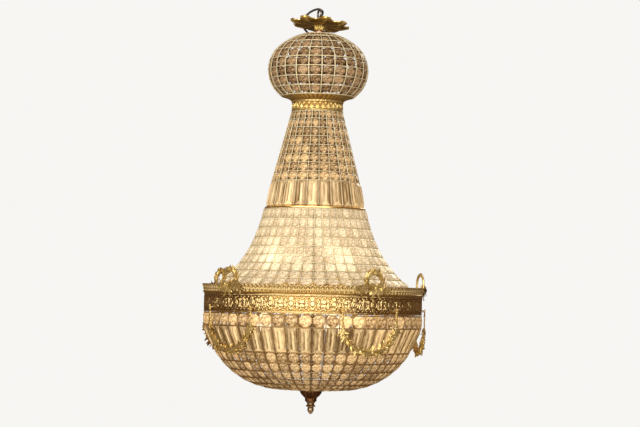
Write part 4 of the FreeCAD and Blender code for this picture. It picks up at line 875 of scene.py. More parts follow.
def garland_tree():
    tree = Tree(
        "garland",
        {
            "Sprig": "Object",
            "Count": "Int",
            "Whorl": "Float",
            "Loose": "Float",
            "Smallest": "Float",
            "Largest": "Float",
            "Seed": "Int",
            "Finish": "Material",
        },
    )
    curve = tree.node("GeometryNodeMeshToCurve", {"Mesh": tree.start["Geometry"]})[0]
    points = tree.node(
        "GeometryNodeCurveToPoints", {"Curve": curve, "Count": tree.start["Count"]}, mode="COUNT"
    )
    index = tree.node("GeometryNodeInputIndex")[0]
    low = tree.maths("MULTIPLY", tree.start["Loose"], -1.0)
    wobble = [
        tree.node(
            "FunctionNodeRandomValue",
            {2: low, 3: tree.start["Loose"], "Seed": tree.maths("ADD", tree.start["Seed"], offset)},
            data_type="FLOAT",
        )[1]
        for offset in (0.0, 1.0, 2.0)
    ]
    whorl = tree.maths("ADD", tree.maths("MULTIPLY", index, tree.start["Whorl"]), wobble[2])
    about = tree.node("ShaderNodeCombineXYZ", {"Z": whorl})[0]
    tip = tree.node("ShaderNodeCombineXYZ", {"X": wobble[0], "Y": wobble[1]})[0]
    rotation = points["Rotation"]
    for euler in (about, tip):
        rotation = tree.node(
            "FunctionNodeRotateRotation",
            {"Rotation": rotation, "Rotate By": tree.node("FunctionNodeEulerToRotation", {0: euler})[0]},
            rotation_space="LOCAL",
        )[0]
    size = tree.node(
        "FunctionNodeRandomValue",
        {2: tree.start["Smallest"], 3: tree.start["Largest"], "Seed": tree.start["Seed"]},
        data_type="FLOAT",
    )[1]
    tree.finish(
        tree.node(
            "GeometryNodeInstanceOnPoints",
            {
                "Points": points["Points"],
                "Instance": tree.object_shape("Sprig"),
                "Rotation": rotation,
                "Scale": tree.node("ShaderNodeCombineXYZ", {axis: size for axis in "XYZ"})[0],
            },
        )[0]
    )
    return tree


level_hoops = hoops_tree()
garland = garland_tree()


def path_mesh(points):
    """A line of edges through the points."""
    made = bpy.data.meshes.new("path")
    made.from_pydata([Vector(p) for p in points], [(k, k + 1) for k in range(len(points) - 1)], [])
    return made


def along_path(name, shape, path, count, whorl, loose, sizes, seed):
    """A cast sprig set along a path; whorl and loose are its fixed and random turns in degrees."""
    sprig = template(name + "_sprig", shape.mesh(name + "_sprig"))
    return garland.grow(
        name,
        path_mesh(path),
        Sprig=sprig,
        Count=count,
        Whorl=math.radians(whorl),
        Loose=math.radians(loose),
        Smallest=sizes[0],
        Largest=sizes[1],
        Seed=seed,
        Finish=leaf_brass,
    )


def read_back(mesh):
    """A mesh as a shape again, with its relief and cut values."""
    shape = Shape()
    shape.points = [vertex.co.copy() for vertex in mesh.vertices]
    shape.faces = [list(face.vertices) for face in mesh.polygons]
    for name, values, count in (
        ("relief", shape.relief, len(shape.points)),
        ("cut", shape.painted_facet_light, len(shape.faces)),
    ):
        layer = mesh.attributes[name]
        values += [0.0] * count
        layer.data.foreach_get("value", values)
    return shape


def merged(name, finish, meshes, sharp=40.0):
    """Several meshes as one."""
    whole = Shape()
    for part in meshes:
        whole.add(read_back(part))
    return whole.mesh(name, finish, sharp)


print("trees:", [group.name for group in bpy.data.node_groups])

# %% [markdown]
# A chandelier octagon is cut like a brilliant: a flat table in front, sixteen crown facets
# down to a thin girdle, and the same behind. A prism bar has a ridge down its front and
# bevels at both ends, small triangles that catch the light and are also painted bright as
# painted glints. Each facet's cut value is painted light, paler or darker.


# %% Crystals
def brilliant(corner):
    """A crystal one unit across and deep, its table facing -Y; corner is what is cut off."""
    long = 0.5 - corner
    half_rim = [(0.5, -long), (0.5, long), (long, 0.5), (-long, 0.5)]
    rim = half_rim + [(-x, -z) for x, z in half_rim]

    def ring(across, depth, between=0.0):
        """The rim drawn in; between moves each corner to the middle of the next side."""
        made = []
        for (x, z), (after_x, after_z) in zip(rim, rim[1:] + rim[:1]):
            made.append(
                (across * (x + between * (after_x - x)), depth, across * (z + between * (after_z - z)))
            )
        return made

    # Each facet's cut value is painted light: the back and girdle facets dark, the front facets in a pattern
    # of painted glints and reflections.
    def cut(level, k):
        if level < 3:
            return 0.12
        if level == 3:
            return (0.3, 0.6, 0.25, 0.85, 0.3, 0.15, 0.45, 0.2)[k]
        if level == 4:
            return (0.75, 0.35, 0.9, 0.3, 0.65, 0.2, 0.8, 0.4)[k]
        return (0.95, 0.5, 0.2, 0.85, 0.4, 0.7, 0.3, 0.8)[k]

    return Shape().skin(
        [
            ring(0.54, 0.5, 0.5),
            ring(0.84, 0.28),
            ring(1.0, 0.08),
            ring(1.0, -0.08),
            ring(0.84, -0.3),
            ring(0.56, -0.47, 0.5),
            [(0.0, -0.5, 0.0)],
        ],
        cut=cut,
    )


def prism_bar(hip):
    """A bar one unit wide, deep and tall, its front a hipped roof in upright strips."""
    across = (-1.0, -0.74, -0.36, 0.0, 0.36, 0.74, 1.0)
    # Painted light for each upright strip of the front, as painted reflections.
    painted_strip_light = (0.25, 0.6, 0.3, 0.95, 0.45, 0.2)
    count = len(across)
    front = [(x / 2, 0.42 * abs(x) - 0.5, 0.5 - hip * (1 - abs(x))) for x in across]
    corners = [(-0.5, 0.5), (0.5, 0.5), (0.5, -0.5), (-0.5, -0.5)]
    made = Shape()
    made.points = [Vector(point) for point in front]
    made.points += [Vector((x, depth, -z)) for x, depth, z in front]
    made.points += [Vector((x, 0.2, z)) for x, z in corners]
    made.points += [Vector((x * 0.8, 0.5, z * 0.92)) for x, z in corners]
    made.relief = [1.0] * len(made.points)
    for number, shade in enumerate(painted_strip_light):
        made.face([number, number + 1, count + number + 1, count + number], shade)
    # The two hipped ends are painted glints, the lower one brighter; the girdle and back are painted dark.
    made.face(list(range(count)), 0.6)
    made.face(list(range(count, 2 * count)), 0.85)
    rim = [0, count - 1, 2 * count - 1, count]
    girdle = list(range(2 * count, 2 * count + 4))
    behind = list(range(2 * count + 4, 2 * count + 8))
    for k in range(4):
        after = (k + 1) % 4
        made.face([rim[k], rim[after], girdle[after], girdle[k]], 0.15)
        made.face([girdle[k], girdle[after], behind[after], behind[k]], 0.2)
    made.face(behind, 0.3)
    return made


octagon = template("octagon", brilliant(0.29).mesh("octagon", None, 0.0))
square = template("square", brilliant(0.17).mesh("square", None, 0.0))
bar = template("prism_bar", prism_bar(0.16).mesh("prism_bar", None, 0.0))

WIRE = 1.0 * MM
BRAZE_GAP = 0.3 * MM
CRYSTAL_GAP = 0.3 * MM
CRYSTAL_DEPTH = 6.4 * MM
MOST_STRETCH = 1.3
BAR_DEPTH = 8.0 * MM
WIRE_PROUD = 1.5 * MM
WOBBLE = math.radians(2.5)


def row_points(rows):
    """A mesh with one point for each row: (radius, height, slope, size, columns)."""
    made = bpy.data.meshes.new("rows")
    made.from_pydata([(0, -radius, height) for radius, height, slope, size, columns in rows], [], [])
    for name, kind, field, values in (
        ("slope", "FLOAT", "value", [row[2] for row in rows]),
        ("size", "FLOAT_VECTOR", "vector", [part for row in rows for part in row[3]]),
        ("columns", "INT", "value", [row[4] for row in rows]),
    ):
        made.attributes.new(name, kind, "POINT").data.foreach_set(field, values)
    return made


def crystal_rows(outline, edges, columns, bars=False, inwards=0.0):
    """The rows of octagons, or of bars, between the given distances, set in behind the wires."""
    rows = []
    room = 2 * (WIRE + CRYSTAL_GAP)
    for top, foot in zip(edges, edges[1:]):
        radius, height, slope = outline.at((top + foot) / 2)
        narrow = min(outline.at(top)[0], outline.at(foot)[0])
        wide = 2 * math.pi * (narrow if bars else (narrow + radius) / 2) / columns - room
        tall = foot - top - room
        if not bars:
            wide = min(wide, tall * MOST_STRETCH)
            tall = min(tall, wide * MOST_STRETCH)
        radius -= inwards * math.cos(slope)
        height -= inwards * math.sin(slope)
        rows.append((radius, height, slope, (wide, BAR_DEPTH if bars else CRYSTAL_DEPTH, tall), columns))
    return rows


def show_glass(name, replaced, rows, turn, finish, shape=octagon, seed=1, wobble=WOBBLE):
    """Rows of crystals, set round the axis by the node tree."""
    made = set_crystals.grow(
        name,
        row_points(rows),
        Crystal=shape,
        Turn=math.radians(turn),
        Wobble=wobble,
        Seed=seed,
        Finish=finish,
    )
    show(made, replaced)


RIB_PITCH = 6.0 * MM


def cage_ribs(name, outline, first, last, columns, turn, finish, wire=WIRE):
    """Upright wires that follow the outline between two distances."""
    rib = tube(outline.points(first, last, RIB_PITCH, -WIRE_PROUD), wire, 6, up=ACROSS)
    return carried_round(name, rib, columns, finish, turn, sharp=60.0)


def cage_hoops(name, outline, edges, steps, finish, wire=WIRE):
    """A level wire at each edge between rows."""
    made = bpy.data.meshes.new("hoop_rows")
    made.from_pydata([outline.points(edge, edge, 1.0, -WIRE_PROUD)[0] for edge in edges], [], [])
    return level_hoops.grow(name, made, Wire=wire, Steps=steps, Finish=finish)


# %% [markdown]
# The ball's outline is an oval of four arcs, tangent to each other. Its rows are evenly spaced
# in angle, as the level wires are on the real one.

# %% Ball
ball_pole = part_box("ball_top_cap")[1].z
BALL_RADIUS = 110.5 * MM
BALL_HALF_HEIGHT = 84.5 * MM
BALL_SIDE_ARC = 70.0 * MM
BALL_COLUMNS = 24
BALL_TURN = 4.3
BALL_HIGH = 72.0
BALL_LOW = -43.2
BALL_ROWS = 8
CAP_SLOPE = 85.0
BALL_HOOP_STEPS = 72
STOUT_WIRE = 1.35 * MM
SET_IN = 2.2 * MM

ball_middle = ball_pole - BALL_HALF_HEIGHT
overhang = BALL_RADIUS - BALL_SIDE_ARC
cap_arc = (overhang**2 + BALL_HALF_HEIGHT**2 - BALL_SIDE_ARC**2) / (2 * (BALL_HALF_HEIGHT - BALL_SIDE_ARC))
join_slope = math.degrees(math.atan2(cap_arc - BALL_HALF_HEIGHT, overhang))
cap_centre = ball_middle - (cap_arc - BALL_HALF_HEIGHT)
cap_slope = math.radians(CAP_SLOPE)
ball = Outline(cap_arc * math.cos(cap_slope), cap_centre + cap_arc * math.sin(cap_slope))
ball.add(cap_arc * math.radians(CAP_SLOPE - join_slope), CAP_SLOPE, join_slope)
ball.add(BALL_SIDE_ARC * math.radians(2 * join_slope), join_slope, -join_slope)
ball.add(cap_arc * math.radians(CAP_SLOPE - join_slope), -join_slope, -CAP_SLOPE)
ball_edges = [
    ball.distance_at(ball_middle + BALL_HALF_HEIGHT * math.sin(math.radians(angle)))
    for angle in evenly(BALL_HIGH, BALL_LOW, BALL_ROWS)
]
ball_rows = crystal_rows(ball, ball_edges, BALL_COLUMNS, inwards=SET_IN)
show_glass("ball_cut_glass", "ball_crystals", ball_rows, BALL_TURN, ball_crystal, seed=3)
ball_uprights = cage_ribs(
    "ball_upright_wires",
    ball,
    ball_edges[0],
    ball_edges[-1],
    BALL_COLUMNS,
    BALL_TURN,
    pale_wire,
    STOUT_WIRE,
)
show(ball_uprights, "ball_ribs")
ball_levels = cage_hoops("ball_level_wires", ball, ball_edges, BALL_HOOP_STEPS, pale_wire, STOUT_WIRE)
show(ball_levels, "ball_hoops")

# %% [markdown]
# The neck's cone has eight rows of octagons that grow with it, and then one row of bars that
# stands a little steeper.

# %% Cone
neck_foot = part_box("neck_collar")[0].z
CONE_TOP_RADIUS = 55.3 * MM
CONE_SLOPE = 14.7
CONE_BAR_SLOPE = 11.0
CONE_ROWS = 8
CONE_ROW = 20.6 * MM
CONE_BARS = 57.0 * MM
CONE_COLUMNS = 24
CONE_HOOP_STEPS = 64
END_GAP = WIRE + BRAZE_GAP

cone = Outline(CONE_TOP_RADIUS, neck_foot).add(CONE_ROWS * CONE_ROW, CONE_SLOPE)
cone.add(CONE_BARS, CONE_BAR_SLOPE)
cone_edges = evenly(0.0, CONE_ROWS * CONE_ROW, CONE_ROWS)
bar_row = [cone_edges[-1], cone.length]
cone_rows = crystal_rows(cone, cone_edges, CONE_COLUMNS, inwards=SET_IN / 2)
show_glass("cone_cut_glass", "cone_crystals", cone_rows, BALL_TURN, cone_crystal, seed=5)
cone_bars = crystal_rows(cone, bar_row, CONE_COLUMNS, bars=True)
show_glass("cone_prism_bars", "cone_baguettes", cone_bars, BALL_TURN, cone_glass, bar, wobble=0.0)
cone_end = cone.length - END_GAP
cone_uprights = cage_ribs("cone_upright_wires", cone, END_GAP, cone_end, CONE_COLUMNS, BALL_TURN, pale_wire)
show(cone_uprights, "cone_ribs")
cone_levels = [END_GAP * 2] + cone_edges[1:]
cone_hoops = cage_hoops("cone_level_wires", cone, cone_levels, CONE_HOOP_STEPS, pale_wire)
show(cone_hoops, "cone_hoops")

# %% [markdown]
# The tent flares in two arcs, the upper one slow and the lower one quick, down to the ring.

# %% Tent
tent_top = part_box("skirt_top_ring")[0].z
TENT_TOP_RADIUS = cone.radius + 4.2 * MM
TENT_ROWS = 9
TENT_ROW = 22.58 * MM
TENT_COLUMNS = 44
TENT_HOOP_STEPS = 88
TENT_UPPER_SHARE = 0.39
TENT_SLOPES = (11.6, 24.2, 53.6)
tent_length = TENT_ROWS * TENT_ROW
tent = Outline(TENT_TOP_RADIUS, tent_top)
tent.add(tent_length * TENT_UPPER_SHARE, TENT_SLOPES[0], TENT_SLOPES[1])
tent.add(tent_length * (1 - TENT_UPPER_SHARE), TENT_SLOPES[1], TENT_SLOPES[2])
tent_edges = evenly(0.0, tent.length, TENT_ROWS)
tent_rows = crystal_rows(tent, tent_edges, TENT_COLUMNS)
show_glass("tent_cut_glass", "skirt_crystals", tent_rows, 0.0, tent_crystal, square, seed=7)
tent_end = tent.length - END_GAP * 2
tent_uprights = cage_ribs("tent_upright_wires", tent, END_GAP, tent_end, TENT_COLUMNS, 0.0, gold_wire)
show(tent_uprights, "skirt_ribs")
tent_levels = [END_GAP * 2] + tent_edges[1:-1]
tent_hoops = cage_hoops("tent_level_wires", tent, tent_levels, TENT_HOOP_STEPS, gold_wire)
show(tent_hoops, "skirt_hoops")

# %% [markdown]
# The basket starts upright under the ring, leans in along a row of long bars, and then curves
# in to the plate. From the sixth row on, every second wire stops, or the wires would crowd.

# %% Basket
ring_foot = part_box("lower_band")[0].z
BASKET_RADIUS = 241.5 * MM
BASKET_TOP = 29.5 * MM
BASKET_BARS = 59.3 * MM
BASKET_LEAN = 25.0
BASKET_ARC = 169.0 * MM
BASKET_FLAT = 44.65 * MM
BASKET_OVERLAP = 6.0 * MM
BASKET_START = 30.0
BASKET_END = 88.0
BASKET_ROWS = 8
BASKET_FINE_ROWS = 5
BASKET_COLUMNS = 52
BASKET_HOOP_STEPS = 104
BEND_GAP = 0.6 * MM

basket = Outline(BASKET_RADIUS, ring_foot).add(BASKET_TOP, 0.0).add(BASKET_BARS, -BASKET_LEAN)
bars_end = basket.length
basket.add(BASKET_ARC * math.radians(BASKET_END - BASKET_START), -BASKET_START, -BASKET_END)
basket.add(BASKET_FLAT, -BASKET_END)
rows_end = basket.length
basket.add(BASKET_OVERLAP, -BASKET_END)
half_columns = BASKET_COLUMNS // 2
basket_edges = evenly(bars_end, rows_end, BASKET_ROWS)
fine_edges = basket_edges[: BASKET_FINE_ROWS + 1]
wide_edges = basket_edges[BASKET_FINE_ROWS:]
top_row = crystal_rows(basket, [END_GAP, BASKET_TOP], BASKET_COLUMNS)
show_glass("basket_top_glass", "basket_top_crystals", top_row, 0.0, basket_crystal, seed=9)
long_bars = crystal_rows(basket, [BASKET_TOP, bars_end], BASKET_COLUMNS, bars=True)
show_glass("basket_prism_bars", "basket_baguettes", long_bars, 0.0, prism_glass, bar, wobble=0.0)
curved_rows = crystal_rows(basket, fine_edges, BASKET_COLUMNS)
curved_rows += crystal_rows(basket, wide_edges, half_columns)
show_glass("basket_cut_glass", "basket_crystals", curved_rows, 0.0, basket_crystal, seed=11)
half_step = 360.0 / BASKET_COLUMNS
arc_start = bars_end + BEND_GAP
WIRE_RUNS = (
    ("upright", END_GAP, BASKET_TOP - BEND_GAP, BASKET_COLUMNS, 0.0),
    ("leaning", BASKET_TOP + BEND_GAP, bars_end - BEND_GAP, BASKET_COLUMNS, 0.0),
    ("long", arc_start, basket.length, half_columns, 0.0),
    ("short", arc_start, fine_edges[-1], half_columns, half_step),
)
basket_wires = [
    cage_ribs(name, basket, first, last, columns, turn, brown_wire)
    for name, first, last, columns, turn in WIRE_RUNS
]
show(merged("basket_upright_wires", brown_wire, basket_wires, 60.0), "basket_ribs")
level_edges = [END_GAP * 2, BASKET_TOP] + basket_edges
basket_levels = cage_hoops("basket_level_wires", basket, level_edges, BASKET_HOOP_STEPS, brown_wire)
show(basket_levels, "basket_hoops")

# %% [markdown]
# Cast ornament is built of a few forms: a leaf with a rib down its middle, a boss, a rosette
# of petals round a boss, and a bead. A leaf is a skin whose sections have six points, an
# upper side with a rib and a flat underside.


# %% Cast forms
LEAF_STATIONS = (0.0, 0.12, 0.3, 0.5, 0.7, 0.88, 1.0)


def leaf(length, width, thick, curl=0.0, waist=0.0):
    """A leaf that grows along +Z from the origin and faces -Y; curl lifts its tip forwards."""
    sections = []
    for along in LEAF_STATIONS:
        half_wide = width / 2 * math.sin(math.pi * min(along * 0.92 + 0.06, 1.0)) ** 0.7
        half_wide *= 1.0 - waist * math.sin(2 * math.pi * along) ** 2
        forward = -curl * along**2
        height = length * along
        if along == LEAF_STATIONS[-1]:
            sections.append([(0, forward - thick * 0.4, height)])
            continue
        sections.append(
            [
                (-half_wide, forward, height),
                (-half_wide * 0.45, forward - thick * 0.85, height),
                (0, forward - thick * 0.5, height),
                (half_wide * 0.45, forward - thick * 0.85, height),
                (half_wide, forward, height),
                (0, forward + thick * 0.3, height),
            ]
        )

    def heights(number):
        return [0.6] if number == len(sections) - 1 else [0.5, 1.0, 0.25, 1.0, 0.5, 0.0]

    return Shape().skin(sections, relief=heights)


def dome(radius, rise, sides=10):
    """A boss that faces -Y."""
    sections = [[(0, radius * 0.3, 0)]]
    for share, depth in ((1.0, 0.0), (0.85, 0.55), (0.5, 0.87)):
        sections.append([(x, -rise * depth, z) for x, z in circle(radius * share, sides)])
    sections.append([(0, -rise, 0)])
    return Shape().skin(sections, relief=lambda number: [0.4 + 0.15 * number] * len(sections[number]))


def rosette(petals, radius, thick):
    """Petals round a boss, facing -Y."""
    made = Shape()
    petal = leaf(radius * 0.8, radius * 2.6 / petals * 1.5, thick, curl=thick * 0.6)
    for k in range(petals):
        turn = Matrix.Rotation(2 * math.pi * k / petals, 4, "Y")
        made.add(petal, turn @ Matrix.Translation((0, 0, radius * 0.2)))
    return made.add(dome(radius * 0.3, thick * 1.5, 8))


def bead(radius, sides=8):
    """A small ball with few faces."""
    rings = [[(0, 0, -radius)]]
    for level in (-0.5, 0.5):
        flat = radius * math.cos(math.asin(level))
        rings.append([(x, y, radius * level) for x, y in circle(flat, sides)])
    return Shape().skin(rings + [[(0, 0, radius)]])


# %% [markdown]
# The ring, the collar and the cornice carry low relief that was cast with them. A repeat is
# drawn as a flat pattern of stems, petals and bosses, each with a height between 0 and 1, and
# mirrored about its middle. The turned ground is then pushed out by the pattern's height, so
# the relief is real metal and not a picture of it.


# %% Low relief
class Pattern:
    """One repeat of a relief, mirrored about its middle; sizes in millimetres."""

    def __init__(self, width):
        self.width = width
        self.forms = []
        self.known = {}

    def stem(self, points, thick):
        """A rounded bar along a line of points."""
        pairs = list(zip(points, points[1:]))

        def height(u, v):
            least = thick
            for (u0, v0), (u1, v1) in pairs:
                run = (u1 - u0) ** 2 + (v1 - v0) ** 2
                share = max(0.0, min(1.0, ((u - u0) * (u1 - u0) + (v - v0) * (v1 - v0)) / run))
                least = min(least, math.hypot(u - u0 - share * (u1 - u0), v - v0 - share * (v1 - v0)))
            return math.sqrt(1 - (least / thick) ** 2)

        self.forms.append(height)

    def petal(self, u0, v0, lean, long, wide):
        """A petal from a point, leaning from upright by degrees, with a groove down it."""
        across, along = math.cos(math.radians(lean)), math.sin(math.radians(lean))

        def height(u, v):
            out = ((u - u0) * along + (v - v0) * across) / long
            if not 0.0 < out < 1.0:
                return 0.0
            side = abs((u - u0) * across - (v - v0) * along)
            reach = wide / 2 * math.sin(math.pi * out**0.8)
            if side >= reach:
                return 0.0
            return math.sqrt(1 - (side / reach) ** 2) * (0.55 if side < 0.18 * wide * (1 - out) else 1.0)

        self.forms.append(height)

    def boss(self, u0, v0, radius):
        def height(u, v):
            away = math.hypot(u - u0, v - v0) / radius
            return math.sqrt(1 - away**2) if away < 1 else 0.0

        self.forms.append(height)

    def spiral(self, u0, v0, size, turns, way, start, thick):
        """A scroll that winds in to a boss."""
        steps = round(turns * 12)
        line = []
        for step in range(steps + 1):
            angle = math.radians(start) + way * 2 * math.pi * turns * step / steps
            radius = size * (1 - 0.72 * step / steps)
            line.append((u0 + radius * math.cos(angle), v0 + radius * math.sin(angle)))
        self.stem(line, thick)
        self.boss(u0, v0, size * 0.26)

    def height(self, u, v):
        u = abs((u + self.width / 2) % self.width - self.width / 2)
        key = (round(u * 50), round(v * 50))
        if key not in self.known:
            self.known[key] = max(form(u, v) for form in self.forms)
        return self.known[key]


def pressed(pattern, middle, rise, low, high, ground=0.06):
    """A warp that pushes a turned face out by a pattern, between two heights."""

    def warp(radius, height, angle, place, depth):
        if not low < height < high:
            return radius, height, depth
        repeats = round(2 * math.pi * radius / MM / pattern.width)
        raised = pattern.height(angle / (2 * math.pi) * repeats * pattern.width, (height - middle) / MM)
        return radius + rise * raised, height, ground + (1 - ground) * raised**0.8

    return warp


def face_points(radius, low, high, step):
    """Evenly spaced points of an upright face."""
    count = round((high - low) / step)
    return [(radius, low + (high - low) * number / count) for number in range(count + 1)]


# %% [markdown]
# The ring is three castings. The cornice flares out and carries a row of small arches whose
# tops scallop its edge, two thin mouldings run under it, and the lower band has roundels, ovals
# and scrolls between two rows of beads. The ground of each casting is darker than its relief.

# %% Ring
ring_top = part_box("cornice_frieze")[1].z
cornice_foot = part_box("cornice_frieze")[0].z
moulding_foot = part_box("ring_moulding")[0].z
RING_RADIUS = 238.0 * MM
CORNICE_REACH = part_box("cornice_frieze")[1].x
BAND_FACE = RING_RADIUS + 6.0 * MM
RING_STEPS = 1650
MOULDING_STEPS = 360
RELIEF_STEP = 0.9 * MM

ARCHES = 150
ARCH_WIDTH = 2 * math.pi * BAND_FACE / MM / ARCHES
cornice_height = ring_top - cornice_foot
CORNICE_LEAN = CORNICE_REACH - 1.6 * MM - BAND_FACE
SCALLOP = 0.14
ARCH_TALL = 15.0
ARCH_RISE = 1.5 * MM
arches = Pattern(ARCH_WIDTH)
arches.stem([(3.9, -7.5), (3.9, 2.2), (2.7, 5.0), (0.0, 6.4)], 0.85)
arches.petal(0.0, -6.6, 0, 10.0, 3.2)
arches.petal(0.0, -6.6, 34, 6.0, 2.2)
arches.boss(ARCH_WIDTH / 2, 4.4, 1.1)


def cornice_warp(radius, height, angle, place, depth):
    """Flares the cornice, presses the arches into it and scallops its top edge."""
    if radius < BAND_FACE - 1 * MM:
        return radius, height, depth
    share = (height - cornice_foot) / cornice_height
    around = angle / (2 * math.pi) * ARCHES * ARCH_WIDTH
    raised = arches.height(around, share * ARCH_TALL - ARCH_TALL / 2)
    tip = abs(math.cos(ARCHES * angle / 2))
    return (
        radius + CORNICE_LEAN * share**1.6 + ARCH_RISE * raised,
        height - SCALLOP * cornice_height * share**4 * (1 - tip),
        0.05 + 0.95 * raised,
    )


cornice_outline = [(RING_RADIUS, cornice_foot)]
cornice_outline += face_points(BAND_FACE, cornice_foot, ring_top, RELIEF_STEP)
cornice_outline += [(BAND_FACE - 1.5 * MM, ring_top - 1.0 * MM), (RING_RADIUS, ring_top - 1.4 * MM)]
cornice_relief = [0.2] * len(cornice_outline)
cornice_shape = lathe(cornice_outline, RING_STEPS, cornice_warp, cornice_relief)
show(cornice_shape.mesh("cornice", cornice_brass, 60.0), "cornice_frieze")

moulding_height = cornice_foot - moulding_foot
moulding_outline = [(RING_RADIUS, moulding_foot), (BAND_FACE, moulding_foot)]
# Each round: its middle as a share of the height, how far it stands out in mm, and its half height.
MOULDING_ROUNDS = ((0.2, 1.8, 0.13), (0.64, 3.6, 0.27))
moulding_relief = [0.0, 0.0]
for middle, out, spread in MOULDING_ROUNDS:
    for step in range(7):
        angle = math.radians(-90 + 180 * step / 6)
        rise = moulding_height * (middle + spread * math.sin(angle))
        moulding_outline.append((BAND_FACE + out * MM * max(0.15, math.cos(angle)), moulding_foot + rise))
        moulding_relief.append(0.15 + 0.85 * math.cos(angle))
moulding_outline += [(BAND_FACE, cornice_foot), (RING_RADIUS, cornice_foot)]
moulding_relief += [0.0, 0.0]
moulding_shape = lathe(moulding_outline, MOULDING_STEPS, relief=moulding_relief)
show(moulding_shape.mesh("moulding", ring_brass), "ring_moulding")

band_top = moulding_foot
PANELS = 33
PANEL_WIDTH = 2 * math.pi * BAND_FACE / MM / PANELS
scrolls = Pattern(PANEL_WIDTH)
edge = PANEL_WIDTH / 2


def oval(u, v, wide, tall):
    """The points of an oval on the pattern, closed."""
    turns = [2 * math.pi * k / 16 for k in range(17)]
    return [(u + wide * math.cos(turn), v + tall * math.sin(turn)) for turn in turns]


scrolls.stem(oval(0.0, 0.0, 7.4, 7.8), 0.9)
for lean in (0, 36, 72, 108, 144, 180):
    scrolls.petal(0.0, 0.0, lean, 6.3, 2.8)
for lean in (0, 38, 66):
    scrolls.petal(0.0, 8.4, lean, 7.4 - lean * 0.02, 2.8)
    scrolls.petal(0.0, -8.4, 180 - lean, 7.4 - lean * 0.02, 2.8)
scrolls.stem(oval(edge, 0.0, 4.8, 12.4), 0.9)
for lean in (0, -24, -52):
    scrolls.petal(edge, 0.6, lean, 9.6 + lean * 0.06, 2.8)
    scrolls.petal(edge, -0.6, 180 - lean, 9.6 + lean * 0.06, 2.8)
scrolls.spiral(13.0, 7.4, 4.3, 1.2, 1, 210, 0.85)
scrolls.spiral(13.0, -7.4, 4.3, 1.2, -1, 150, 0.85)
for lean in (35, -35, 145, -145):
    scrolls.petal(13.0, 0.0, lean, 5.6, 2.4)
scrolls.boss(13.0, 0.0, 1.5)
for u, v in ((8.4, 13.2), (18.2, 13.4), (8.4, -13.2), (18.2, -13.4)):
    scrolls.boss(u, v, 1.5)
BEAD_PITCH = PANEL_WIDTH / 16
for number in range(9):
    scrolls.boss((number + 0.5) * BEAD_PITCH, -18.0, BEAD_PITCH * 0.52)
    scrolls.boss((number + 0.5) * BEAD_PITCH, 17.6, BEAD_PITCH * 0.46)
BAND_GROUND = BAND_FACE - 1.1 * MM
BAND_RISE = 1.15 * MM
band_outline = [(RING_RADIUS, ring_foot)]
band_outline += in_mm([(0.6, 0.0), (0.8, 0.5), (0.4, 1.1)], BAND_FACE, ring_foot)
band_relief = [0.2, 0.8, 1.0, 0.5]
ground_face = face_points(BAND_GROUND, ring_foot + 1.2 * MM, band_top - 1.0 * MM, RELIEF_STEP)
band_outline += ground_face
band_relief += [0.06] * len(ground_face)
band_outline += in_mm([(0.4, -0.9), (0.4, 0.0)], BAND_FACE, band_top)
band_outline += [(RING_RADIUS, band_top)]
band_relief += [0.7, 0.7, 0.2]
band_middle = (ring_foot + band_top) / 2
band_warp = pressed(scrolls, band_middle, BAND_RISE, ring_foot + 1.15 * MM, band_top - 0.95 * MM)
band_shape = lathe(band_outline, RING_STEPS, band_warp, band_relief)
show(band_shape.mesh("scroll_band", ring_brass, 60.0), "lower_band")

# %% [markdown]
# The neck's collar is a band of upright leaves between two beads, and above it a flared cup
# with gadroons, in which the ball sits.

# %% Neck collar
neck_low, neck_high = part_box("neck_collar")
CUP_REACH = neck_high.x
COLLAR_BAND = 19.0 * MM
NECK_RADIUS = CUP_REACH - 22.5 * MM
COLLAR_LEAVES = 28
GADROONS = 44
LEAF_WIDTH = 2 * math.pi * NECK_RADIUS / MM / COLLAR_LEAVES
collar_leaves = Pattern(LEAF_WIDTH)
for lean, long in ((0, 12.5), (26, 9.5), (56, 6.5)):
    collar_leaves.petal(0.0, -6.8, lean, long, 3.2)
collar_leaves.boss(0.0, -6.8, 1.6)
collar_leaves.petal(LEAF_WIDTH / 2, 7.2, 180, 8.5, 2.8)
collar_leaves.petal(LEAF_WIDTH / 2, 7.2, 214, 5.5, 2.2)
collar_leaves.boss(LEAF_WIDTH / 2, -5.2, 1.6)
for number in range(3):
    collar_leaves.boss((number + 0.5) * LEAF_WIDTH / 5, 8.4, 1.25)
    collar_leaves.boss((number + 0.5) * LEAF_WIDTH / 5, -8.7, 1.25)
cup_foot = neck_low.z + COLLAR_BAND
relief_face = face_points(NECK_RADIUS - 0.2 * MM, neck_low.z + 1.9 * MM, cup_foot, 0.8 * MM)
collar_outline = in_mm([(-2.0, 0.0), (2.4, 0.0), (2.6, 0.8), (2.0, 1.8)], NECK_RADIUS, neck_low.z)
collar_relief = [0.0, 0.8, 1.0, 0.6]
collar_outline += relief_face
collar_relief += [0.06] * len(relief_face)
collar_outline += in_mm(
    [(2.4, 0.6), (2.6, 2.0), (3.2, 4.0), (6.4, 6.8), (11.0, 9.0), (16.4, 11.0), (20.6, 12.3)],
    NECK_RADIUS,
    cup_foot,
)
collar_outline += in_mm([(0.0, -1.2), (0.0, -0.2), (-1.8, 0.0)], CUP_REACH, neck_high.z)
collar_outline += in_mm([(8.8, 10.4), (-2.0, 4.0)], NECK_RADIUS, cup_foot)
collar_relief += [0.8, 0.9, 0.2, 0.3, 0.4, 0.5, 0.5, 0.6, 0.6, 0.4, 0.2, 0.1]
COLLAR_RISE = 2.1 * MM
COLLAR_STEPS = 560
leaf_middle = neck_low.z + COLLAR_BAND / 2 + 1 * MM
press_leaves = pressed(
    collar_leaves, leaf_middle, COLLAR_RISE, neck_low.z + 2.0 * MM, cup_foot - 0.1 * MM
)


